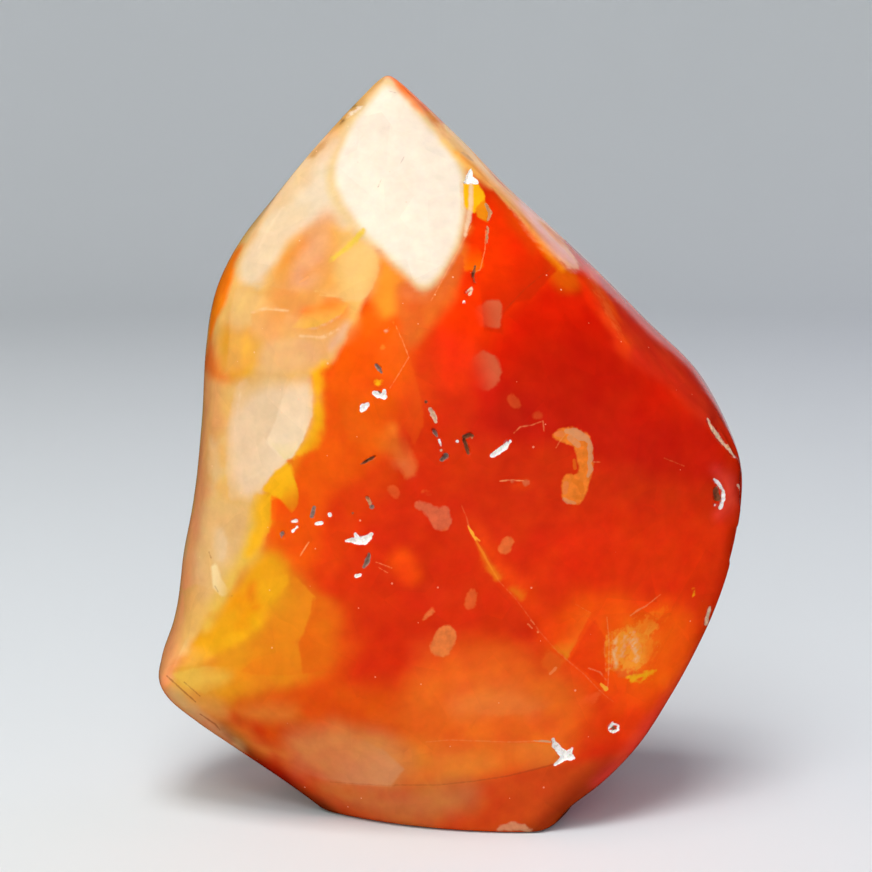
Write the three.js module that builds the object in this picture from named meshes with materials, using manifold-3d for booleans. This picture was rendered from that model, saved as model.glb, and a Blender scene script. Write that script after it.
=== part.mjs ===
// A carnelian carved and polished as a flame: one solid piece of stone that stands on a small flat base.
// Millimetres. Z is up and the base lies at Z = 0. The broad, gently bulged face looks along -Y.
// Four ridges climb from the base and twist round the stone on their way to the tip.
import * as THREE from "three";
import { mergeVertices } from "three/addons/utils/BufferGeometryUtils.js";
import Module from "manifold-3d";

const HEIGHT = 110;
const SHOULDER = 104; // above this height the section only shrinks towards the tip
const TIP_X = -9.7;
const TIP_Y = 3.0;
const TIP_ROUND = 1.2; // rounding of the tip
const FOOT_ROUND = 0.8; // rounding where the sides meet the flat base
const BASE_X = 0;
const BASE_Y = 0.5;
const CORNER_HEIGHT = 19.5; // height of the sharp corner low on the left ridge

// Each ridge is a list of stations: height, distance to the right, distance to the back.
const LEFT_RIDGE = [
  [0, -19.4, -6.5],
  [5, -26.0, -6.5],
  [10, -33.2, -6.5],
  [14, -38.8, -6.5],
  [17.5, -42.8, -6.5],
  [CORNER_HEIGHT, -43.8, -6.5],
  [22, -43.0, -6.7],
  [27, -40.6, -7],
  [34, -38.4, -7.6],
  [45, -36.4, -8],
  [58, -35.2, -8.5],
  [70, -34.4, -8.2],
  [79, -33.0, -7],
  [86.5, -29.6, -5],
  [93, -25.7, -2.6],
  [98, -21.8, -1],
  [SHOULDER, -16.4, 0.8],
];
const RIGHT_RIDGE = [
  [0, 13.4, -15.8],
  [3, 16.2, -15.6],
  [6, 20.4, -15],
  [10.5, 25.4, -13.8],
  [18.5, 31.5, -11.6],
  [26, 36.0, -9.6],
  [32, 38.9, -8.2],
  [38, 41.0, -7],
  [43, 42.0, -6.4],
  [48, 42.4, -6.4],
  [53, 41.7, -7.4],
  [57.5, 39.3, -9.2],
  [62, 35.5, -11.5],
  [66, 30.4, -13],
  [73, 23.4, -13.4],
  [80, 18.4, -11.2],
  [86.5, 12.4, -8.2],
  [93, 6.2, -5.2],
  [99, 0.4, -2.4],
  [SHOULDER, -4.0, -0.2],
];
const BACK_RIGHT_RIDGE = [
  [0, 17.6, 11],
  [6, 22.8, 13],
  [11, 26.8, 14],
  [18, 31.8, 15],
  [26, 36.0, 16],
  [34, 39.0, 16],
  [43, 41.5, 15],
  [50, 42.4, 13],
  [58, 41.4, 11],
  [66, 37.4, 9.8],
  [73, 30.2, 9],
  [80, 23.0, 8.2],
  [87, 15.6, 7.4],
  [94, 7.8, 6.4],
  [100, 2.0, 5.4],
  [SHOULDER, -2.2, 4.8],
];
const BACK_LEFT_RIDGE = [
  [0, -13.0, 12],
  [5, -20.0, 14],
  [10, -27.0, 15.5],
  [14, -32.5, 16.5],
  [18, -36.5, 17.5],
  [22, -37.5, 18.2],
  [28, -36.0, 19],
  [36, -33.5, 20],
  [48, -31.0, 20.6],
  [60, -29.5, 20],
  [70, -28.0, 18.2],
  [80, -26.0, 15.2],
  [88, -23.4, 12],
  [96, -19.4, 8.8],
  [SHOULDER, -14.6, 5.6],
];
// How far the middle of each face stands out from the line between its two ridges:
// height, front face, right face, back face, left face.
const BULGE = [
  [0, 3.0, 2.5, 3.0, 2.5],
  [10, 6.0, 2.5, 4.5, 3.0],
  [20, 10.0, 2.0, 5.5, 4.0],
  [30, 12.2, 1.7, 6.0, 4.8],
  [38, 13.2, 1.5, 6.0, 6.0],
  [45, 13.5, 1.5, 6.0, 5.8],
  [58, 13.5, 1.2, 6.0, 5.4],
  [75, 10.0, 1.0, 5.5, 5.6],
  [86, 6.5, 0.8, 4.5, 4.4],
  [94, 4.0, 0.6, 3.0, 1.8],
  [SHOULDER, 1.8, 0.4, 1.3, 0.7],
];

// The way round the stone runs from 0 to 1: it starts at the left ridge and crosses the front face first.
const RIDGES = [LEFT_RIDGE, RIGHT_RIDGE, BACK_RIGHT_RIDGE, BACK_LEFT_RIDGE];
const FACE_START = [0, 0.36, 0.51, 0.79, 1]; // front, right, back and left face, each from ridge to ridge
const RIDGE_ROUNDING = [0.015, 0.026, 0.018, 0.018]; // reach of the polish, as a share of the way round
const ROUNDING_STEPS = 9;

const FACE_COLUMNS = [22, 8, 16, 10];
const FOOT_HEIGHTS = [0, 0.2];
const ROWS_BELOW_CORNER = 9;
const ROWS_ABOVE_CORNER = 38;
const TIP_HEIGHTS = [105.5, 107, 108.2, 109.1, 109.7];

// Open pockets in the stone and chips in its edges: width, height, depth, and a turn in degrees.
// On a large face they lie at a distance x to the right, and on the right ridge only at a height z.
const POCKETS = [
  { face: "front", x: -13.7, z: 44.7, size: [3.4, 2.0, 1.2], turn: 0 },
  { face: "front", x: 15.6, z: 13.2, size: [2.0, 4.2, 1.4], turn: -35 },
  { face: "front", x: 16.8, z: 12.2, size: [3.6, 1.6, 1.1], turn: -20 },
  { face: "front", x: 6.3, z: 58.1, size: [3.2, 1.2, 0.8], turn: 38 },
  { face: "front", x: 2.3, z: 95.1, size: [2.4, 2.6, 1.0], turn: 20 },
  { face: "front", x: 5.1, z: 88.3, size: [0.9, 5.2, 0.6], turn: 0 },
  { face: "front", x: 2.0, z: 80.7, size: [1.6, 3.6, 1.1], turn: 12 },
  { face: "front", x: -10.6, z: 69.3, size: [1.2, 2.0, 0.8], turn: -20 },
  { face: "front", x: -12.4, z: 64.3, size: [1.8, 1.6, 0.7], turn: 0 },
  { face: "front", x: -10.5, z: 65.9, size: [1.4, 1.4, 0.7], turn: 0 },
  { face: "front", x: -3.5, z: 64.4, size: [1.2, 3.0, 0.8], turn: 12 },
  { face: "front", x: -2.4, z: 60.6, size: [1.2, 2.8, 0.8], turn: 15 },
  { face: "front", x: -1.6, z: 57.4, size: [1.6, 1.6, 0.9], turn: 0 },
  { face: "front", x: 1.5, z: 58.8, size: [1.3, 3.2, 0.9], turn: -8 },
  { face: "front", x: -12.2, z: 56.1, size: [2.4, 1.1, 0.9], turn: 25 },
  { face: "front", x: -12.1, z: 49.8, size: [1.2, 2.0, 0.9], turn: 10 },
  { face: "front", x: -12.7, z: 41.3, size: [1.2, 2.2, 0.8], turn: -15 },
  { face: "front", x: -22.1, z: 46.1, size: [1.3, 1.6, 0.7], turn: 20 },
  { face: "front", x: -18.4, z: 48.3, size: [1.3, 1.8, 0.7], turn: 0 },
  { face: "front", x: 39.2, z: 57.7, size: [2.8, 6.6, 1.4], turn: 32 },
  { face: "front", x: 38.6, z: 49.7, size: [2.6, 4.6, 1.8], turn: 12 },
  { face: "front", x: 23.4, z: 15.5, size: [1.6, 1.4, 0.8], turn: 0 },
  { face: "front", x: 37.4, z: 31.6, size: [1.8, 4.4, 0.9], turn: -15 },
  { face: "right ridge", z: 37.6, size: [4.0, 7.0, 1.0], turn: 0 },
  { face: "back", x: -9.0, z: 63.0, size: [3.2, 2.2, 1.2], turn: 25 },
  { face: "back", x: 15.0, z: 47.0, size: [2.2, 3.6, 1.1], turn: -30 },
  { face: "back", x: -20.0, z: 31.0, size: [2.6, 1.8, 1.0], turn: 10 },
  { face: "back", x: 5.0, z: 24.0, size: [1.8, 2.6, 0.9], turn: 0 },
];
const LARGE_POCKET = 3; // from this width or height on a pocket gets the finer lump

// A smooth curve through stations, read at height z.
function readStations(stations, z) {
  let i = 0;
  while (i < stations.length - 2 && z >= stations[i + 1][0]) i += 1;
  const slope = (k, c) =>
    (stations[k + 1][c] - stations[k][c]) / (stations[k + 1][0] - stations[k][0]);
  const tangent = (k, c) => {
    if (k === 0) return slope(0, c);
    if (k === stations.length - 1) return slope(k - 1, c);
    const below = stations[k][0] - stations[k - 1][0];
    const above = stations[k + 1][0] - stations[k][0];
    return (slope(k - 1, c) * above + slope(k, c) * below) / (above + below);
  };
  const step = stations[i + 1][0] - stations[i][0];
  const t = (z - stations[i][0]) / step;
  return stations[i].slice(1).map((_, k) => {
    const c = k + 1;
    return (
      stations[i][c] * (1 + 2 * t) * (1 - t) ** 2 +
      tangent(i, c) * step * t * (1 - t) ** 2 +
      stations[i + 1][c] * t * t * (3 - 2 * t) +
      tangent(i + 1, c) * step * t * t * (t - 1)
    );
  });
}

// The face that holds a place on the way round, and how far along that face the place is.
function faceAt(around) {
  const u = around - Math.floor(around);
  let face = 0;
  while (face < 3 && u >= FACE_START[face + 1]) face += 1;
  return [face, (u - FACE_START[face]) / (FACE_START[face + 1] - FACE_START[face])];
}

// A point of the cross-section with sharp ridges.
function sharpPoint(around, corners, bulges) {
  const [face, t] = faceAt(around);
  const [ax, ay] = corners[face];
  const [bx, by] = corners[(face + 1) % 4];
  const out = (bulges[face] * 4 * t * (1 - t)) / Math.hypot(bx - ax, by - ay);
  return [ax + (bx - ax) * t + (by - ay) * out, ay + (by - ay) * t - (bx - ax) * out];
}

// The polish: each point is a weighted mean of the sharp section a little to both sides of it.
function roundedPoint(around, z) {
  const corners = RIDGES.map((ridge) => readStations(ridge, z));
  const bulges = readStations(BULGE, z);
  const [face, t] = faceAt(around);
  const reach = THREE.MathUtils.lerp(RIDGE_ROUNDING[face], RIDGE_ROUNDING[(face + 1) % 4], t);
  let x = 0;
  let y = 0;
  let total = 0;
  for (let k = 0; k < ROUNDING_STEPS; k += 1) {
    const side = (2 * k) / (ROUNDING_STEPS - 1) - 1;
    const weight = 1 + Math.cos((side * Math.PI * ROUNDING_STEPS) / (ROUNDING_STEPS + 1));
    const [px, py] = sharpPoint(around + side * reach, corners, bulges);
    x += px * weight;
    y += py * weight;
    total += weight;
  }
  return [x / total, y / total];
}

// The half-width of a rounded cone at a distance below its tip.
function tipWidth(below) {
  return Math.sqrt(below * below + 2 * TIP_ROUND * below);
}

// The polished skin of the stone, with the tip and the foot rounded over.
function skin(around, z) {
  let [x, y] = roundedPoint(around, Math.min(z, SHOULDER));
  if (z > SHOULDER) {
    const shrink = tipWidth(HEIGHT - z) / tipWidth(HEIGHT - SHOULDER);
    x = TIP_X + (x - TIP_X) * shrink;
    y = TIP_Y + (y - TIP_Y) * shrink;
  }
  if (z < FOOT_ROUND) {
    const under = 1 - z / FOOT_ROUND;
    const inset = FOOT_ROUND * (1 - Math.sqrt(1 - under * under));
    const keep = 1 - inset / Math.hypot(x - BASE_X, y - BASE_Y);
    x = BASE_X + (x - BASE_X) * keep;
    y = BASE_Y + (y - BASE_Y) * keep;
  }
  return new THREE.Vector3(x, y, z);
}

// Columns lie closer together near the ridges than in the middle of a face.
function columnPlaces() {
  return FACE_COLUMNS.flatMap((count, face) =>
    Array.from({ length: count }, (_, k) => {
      const even = k / count;
      const eased = (1 - Math.cos(Math.PI * even)) / 2;
      return THREE.MathUtils.lerp(FACE_START[face], FACE_START[face + 1], (even + eased) / 2);
    }),
  );
}

function rowHeights() {
  const steps = (from, to, count) =>
    Array.from({ length: count }, (_, k) => from + ((to - from) * (k + 1)) / count);
  return [
    ...FOOT_HEIGHTS,
    FOOT_ROUND,
    ...steps(FOOT_ROUND, CORNER_HEIGHT, ROWS_BELOW_CORNER),
    ...steps(CORNER_HEIGHT, SHOULDER, ROWS_ABOVE_CORNER),
    ...TIP_HEIGHTS,
  ];
}

// The closed body: rings of the skin, a flat fan below and a fan to the tip above.
function flameGeometry() {
  const places = columnPlaces();
  const heights = rowHeights();
  const columns = places.length;
  const points = heights.flatMap((z) => places.map((around) => skin(around, z)));
  const base = points.length;
  const tip = base + 1;
  points.push(new THREE.Vector3(BASE_X, BASE_Y, 0), new THREE.Vector3(TIP_X, TIP_Y, HEIGHT));
  const index = [];
  for (let row = 0; row < heights.length - 1; row += 1) {
    for (let k = 0; k < columns; k += 1) {
      const a = row * columns + k;
      const b = row * columns + ((k + 1) % columns);
      index.push(a, b, b + columns, a, b + columns, a + columns);
    }
  }
  const last = (heights.length - 1) * columns;
  for (let k = 0; k < columns; k += 1) {
    const next = (k + 1) % columns;
    index.push(base, next, k, last + k, last + next, tip);
  }
  return new THREE.BufferGeometry().setFromPoints(points).setIndex(index);
}

// The place on the way round where a large face has the distance x to the right at height z.
function placeOnFace(face, x, z) {
  let from = face === "front" ? FACE_START[0] : FACE_START[3];
  let to = face === "front" ? FACE_START[1] : FACE_START[2];
  for (let k = 0; k < 40; k += 1) {
    const middle = (from + to) / 2;
    if (skin(middle, z).x < x) from = middle;
    else to = middle;
  }
  return (from + to) / 2;
}

// A rough lump that is cut out of the stone, laid along the skin.
function pocketGeometry({ face, x, z, size, turn }) {
  const around = face === "right ridge" ? FACE_START[1] : placeOnFace(face, x, z);
  const along = skin(around + 0.002, z).sub(skin(around - 0.002, z)).normalize();
  const up = skin(around, z + 0.3).sub(skin(around, z - 0.3)).normalize();
  const out = new THREE.Vector3().crossVectors(along, up).normalize();
  up.crossVectors(out, along);
  const [width, height, depth] = size;
  const detail = Math.max(width, height) >= LARGE_POCKET ? 1 : 0;
  return new THREE.IcosahedronGeometry(1, detail)
    .scale(width / 2, height / 2, depth)
    .rotateZ(THREE.MathUtils.degToRad(turn))
    .applyMatrix4(new THREE.Matrix4().makeBasis(along, up, out).setPosition(skin(around, z)));
}

const wasm = await Module();
wasm.setup();

function solidFrom(geometry) {
  geometry.deleteAttribute("normal");
  geometry.deleteAttribute("uv");
  const merged = mergeVertices(geometry, 1e-4);
  return new wasm.Manifold(
    new wasm.Mesh({
      numProp: 3,
      vertProperties: merged.getAttribute("position").array,
      triVerts: new Uint32Array(merged.index.array),
    }),
  );
}

function geometryFrom(solid) {
  const mesh = solid.getMesh();
  const geometry = new THREE.BufferGeometry()
    .setAttribute("position", new THREE.BufferAttribute(mesh.vertProperties, 3))
    .setIndex(new THREE.BufferAttribute(mesh.triVerts, 1));
  geometry.computeVertexNormals();
  return geometry;
}

let stone = solidFrom(flameGeometry());
for (const pocket of POCKETS) {
  stone = stone.subtract(solidFrom(pocketGeometry(pocket)));
}

const carnelian = new THREE.MeshStandardMaterial({ color: 0xd9400f, roughness: 0.15 });
const flame = new THREE.Mesh(geometryFrom(stone), carnelian);
flame.name = "carnelian_flame";

const group = new THREE.Group();
group.add(flame);
export default group;
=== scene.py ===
"""A carnelian carved and polished as a flame: the skin of the stone, its colours and the studio round it."""

import math
from collections import namedtuple
from functools import partial
from itertools import product

import bmesh
import bpy
import numpy as np
from bpy.props import FloatProperty, FloatVectorProperty, PointerProperty
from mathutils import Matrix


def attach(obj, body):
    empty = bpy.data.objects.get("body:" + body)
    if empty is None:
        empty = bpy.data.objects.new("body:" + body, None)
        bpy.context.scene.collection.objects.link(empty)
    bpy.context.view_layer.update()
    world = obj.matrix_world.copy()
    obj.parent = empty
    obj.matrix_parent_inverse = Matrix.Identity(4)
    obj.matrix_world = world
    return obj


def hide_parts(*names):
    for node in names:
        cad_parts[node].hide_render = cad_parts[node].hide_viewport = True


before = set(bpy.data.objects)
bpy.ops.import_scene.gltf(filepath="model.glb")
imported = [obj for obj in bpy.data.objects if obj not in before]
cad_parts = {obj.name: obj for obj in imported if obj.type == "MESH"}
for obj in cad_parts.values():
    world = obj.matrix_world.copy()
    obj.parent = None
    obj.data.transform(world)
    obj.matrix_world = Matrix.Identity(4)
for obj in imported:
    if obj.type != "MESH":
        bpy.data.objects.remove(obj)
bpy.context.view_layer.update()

bl_info = {
    "name": "Carnelian flame",
    "version": (1, 0, 0),
    "blender": (4, 5, 0),
    "location": "3D View > Sidebar > Carnelian",
    "description": "Carves and polishes a carnelian flame and sets it on a studio floor",
    "category": "Object",
}

STONE_NODE = "carnelian_flame"
MM = 0.001

# The skin of the stone, in millimetres: the same ridges and bulges as its solid has.
HEIGHT = 110.0
SHOULDER = 104.0
TIP = np.array((-9.7, 3.0))
TIP_ROUND = 1.2
FOOT_ROUND = 0.8
BASE = np.array((0.0, 0.5))

# A ridge is a list of (height, x, y).
LEFT_RIDGE = (
    (0, -19.4, -6.5), (5, -26.0, -6.5), (10, -33.2, -6.5), (14, -38.8, -6.5), (17.5, -42.8, -6.5),
    (19.5, -43.8, -6.5), (22, -43.0, -6.7), (27, -40.6, -7.0), (34, -38.4, -7.6), (45, -36.4, -8.0),
    (58, -35.2, -8.5), (70, -34.4, -8.2), (79, -33.0, -7.0), (86.5, -29.6, -5.0), (93, -25.7, -2.6),
    (98, -21.8, -1.0), (104, -16.4, 0.8),
)
RIGHT_RIDGE = (
    (0, 13.4, -15.8), (3, 16.2, -15.6), (6, 20.4, -15.0), (10.5, 25.4, -13.8), (18.5, 31.5, -11.6),
    (26, 36.0, -9.6), (32, 38.9, -8.2), (38, 41.0, -7.0), (43, 42.0, -6.4), (48, 42.4, -6.4),
    (53, 41.7, -7.4), (57.5, 39.3, -9.2), (62, 35.5, -11.5), (66, 30.4, -13.0), (73, 23.4, -13.4),
    (80, 18.4, -11.2), (86.5, 12.4, -8.2), (93, 6.2, -5.2), (99, 0.4, -2.4), (104, -4.0, -0.2),
)
BACK_RIGHT_RIDGE = (
    (0, 17.6, 11.0), (6, 22.8, 13.0), (11, 26.8, 14.0), (18, 31.8, 15.0), (26, 36.0, 16.0),
    (34, 39.0, 16.0), (43, 41.5, 15.0), (50, 42.4, 13.0), (58, 41.4, 11.0), (66, 37.4, 9.8),
    (73, 30.2, 9.0), (80, 23.0, 8.2), (87, 15.6, 7.4), (94, 7.8, 6.4), (100, 2.0, 5.4), (104, -2.2, 4.8),
)
BACK_LEFT_RIDGE = (
    (0, -13.0, 12.0), (5, -20.0, 14.0), (10, -27.0, 15.5), (14, -32.5, 16.5), (18, -36.5, 17.5),
    (22, -37.5, 18.2), (28, -36.0, 19.0), (36, -33.5, 20.0), (48, -31.0, 20.6), (60, -29.5, 20.0),
    (70, -28.0, 18.2), (80, -26.0, 15.2), (88, -23.4, 12.0), (96, -19.4, 8.8), (104, -14.6, 5.6),
)
RIDGES = (LEFT_RIDGE, RIGHT_RIDGE, BACK_RIGHT_RIDGE, BACK_LEFT_RIDGE)
# Height, then how far the front, right, back and left faces stand out from the lines between their ridges.
BULGE = (
    (0, 3.0, 2.5, 3.0, 2.5), (10, 6.0, 2.5, 4.5, 3.0), (20, 10.0, 2.0, 5.5, 4.0),
    (30, 12.2, 1.7, 6.0, 4.8), (38, 13.2, 1.5, 6.0, 6.0), (45, 13.5, 1.5, 6.0, 5.8),
    (58, 13.5, 1.2, 6.0, 5.4), (75, 10.0, 1.0, 5.5, 5.6), (86, 6.5, 0.8, 4.5, 4.4),
    (94, 4.0, 0.6, 3.0, 1.8), (104, 1.8, 0.4, 1.3, 0.7),
)
# A place round the stone is a share of the whole way round, from the left ridge across the front.
FACE_START = np.array((0.0, 0.36, 0.51, 0.79, 1.0))
RIDGE_ROUNDING = np.array((0.015, 0.026, 0.018, 0.018, 0.015))
ROUNDING_STEPS = 9

# The columns of the mesh, from the seam in the left face: where each stretch ends and how many it has.
SEAM = -0.1
STRETCHES = ((0.0, 22), (0.36, 150), (0.51, 34), (0.79, 62), (0.9, 22))
ROW_STEP = 0.56
FOOT_ROWS = (0.0, 0.05, 0.14, 0.28, 0.5, 0.8, 1.2)
TIP_ROWS = (0.0, 0.02, 0.07, 0.16, 0.3, 0.5, 0.75, 1.1, 1.5)
BASE_RINGS = 8
FINE_EDGE = 0.2
FINE_REACH = 0.3
REFINEMENTS = 3
WELD = 1e-4
HAND_WAVE = 11.0  # width of the slight waves that hand grinding leaves

# Random clouds, on a lattice of this many points a side; the swing brings them to about -1 to 1.
CLOUD_SIDE = 32
CLOUD_SWING = 1.5
BROAD_EDGE = 1.0  # zones with softer edges than this, in millimetres, drift instead of fraying
VEIL_GAP = 1.2  # how far apart, in millimetres, the veils of one sheet lie at least

# The camera of the photograph, in millimetres; its picture is square.
PICTURE_SIDE = 872
LENS = 85.0
SENSOR = 36.0
CAMERA_TILT = math.radians(9.0)
CAMERA_DISTANCE = 309.0
CAMERA_AIM = np.array((-2.6, 0.0, 56.6))
POINTS_PER_MM = 6.66  # points of the photograph to a millimetre on the front face

# A colour zone. Its shape is an outline or a set of strokes, in points of the photograph for side "front",
# and in millimetres (right of the axis, above the base) for side "back". A stroke is a chain of (across,
# down, radius). soft and grain are the width and the raggedness of its edge in millimetres. fade is a pair of
# places between which it thins out to nothing, and reach is how deep it goes. Outlines run in soft curves,
# except that a facet keeps its corners.
Zone = namedtuple(
    "Zone",
    "colour outline strokes soft grain opacity fade reach side facet",
    defaults=((), (), 3.0, 0.8, 1.0, (), 15.0, "front", False),
)
# A small mark of one colour, whose strokes are as above; opacity is how much it covers.
Mark = namedtuple("Mark", "colour strokes opacity side", defaults=(0.8, "front"))
# An open pocket: its strokes, its depth in millimetres and the colour of its lining.
Pocket = namedtuple("Pocket", "lining depth strokes side", defaults=("front",))

UNDER_SOLID = 0.07  # how far the painted skin lies inside the solid, in millimetres
FRONT_LIMIT = 3.0  # how far behind its ridges a mark on the front may reach
BACK_TURN = 0.5  # share of its direction with which a face that belongs to the back points backwards
TURN_REACH = 14.0  # millimetres that a whole turn counts for at that border
BORDER_START, BORDER_SWAY = 4.0, 2.5  # from the first depth on that border wavers, by about the second
SWAY_START, SWAY_MOST = 5.0, 6.0  # the bands of the front sway from the first depth on, by up to the second
SWAY_DIP = 0.6  # share of the sway that always goes downwards
CHIP_LIMIT = 5.0  # how far behind its ridges the front's ground chips reach
ZONE_MARGIN = 8.0  # beyond this distance in millimetres a zone has no effect
MARK_MARGIN = 2.0  # the same for marks, cracks and pockets


def band(colour, strokes, **settings):
    """A colour zone drawn with strokes."""
    return Zone(colour, strokes=strokes, **settings)


def veil(colour, outline, **settings):
    """A colour zone that keeps its corners and, unless the settings say otherwise, has crisp edges."""
    return Zone(colour, outline, **{"soft": 0.25, "grain": 0.1, "facet": True, **settings})


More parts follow.
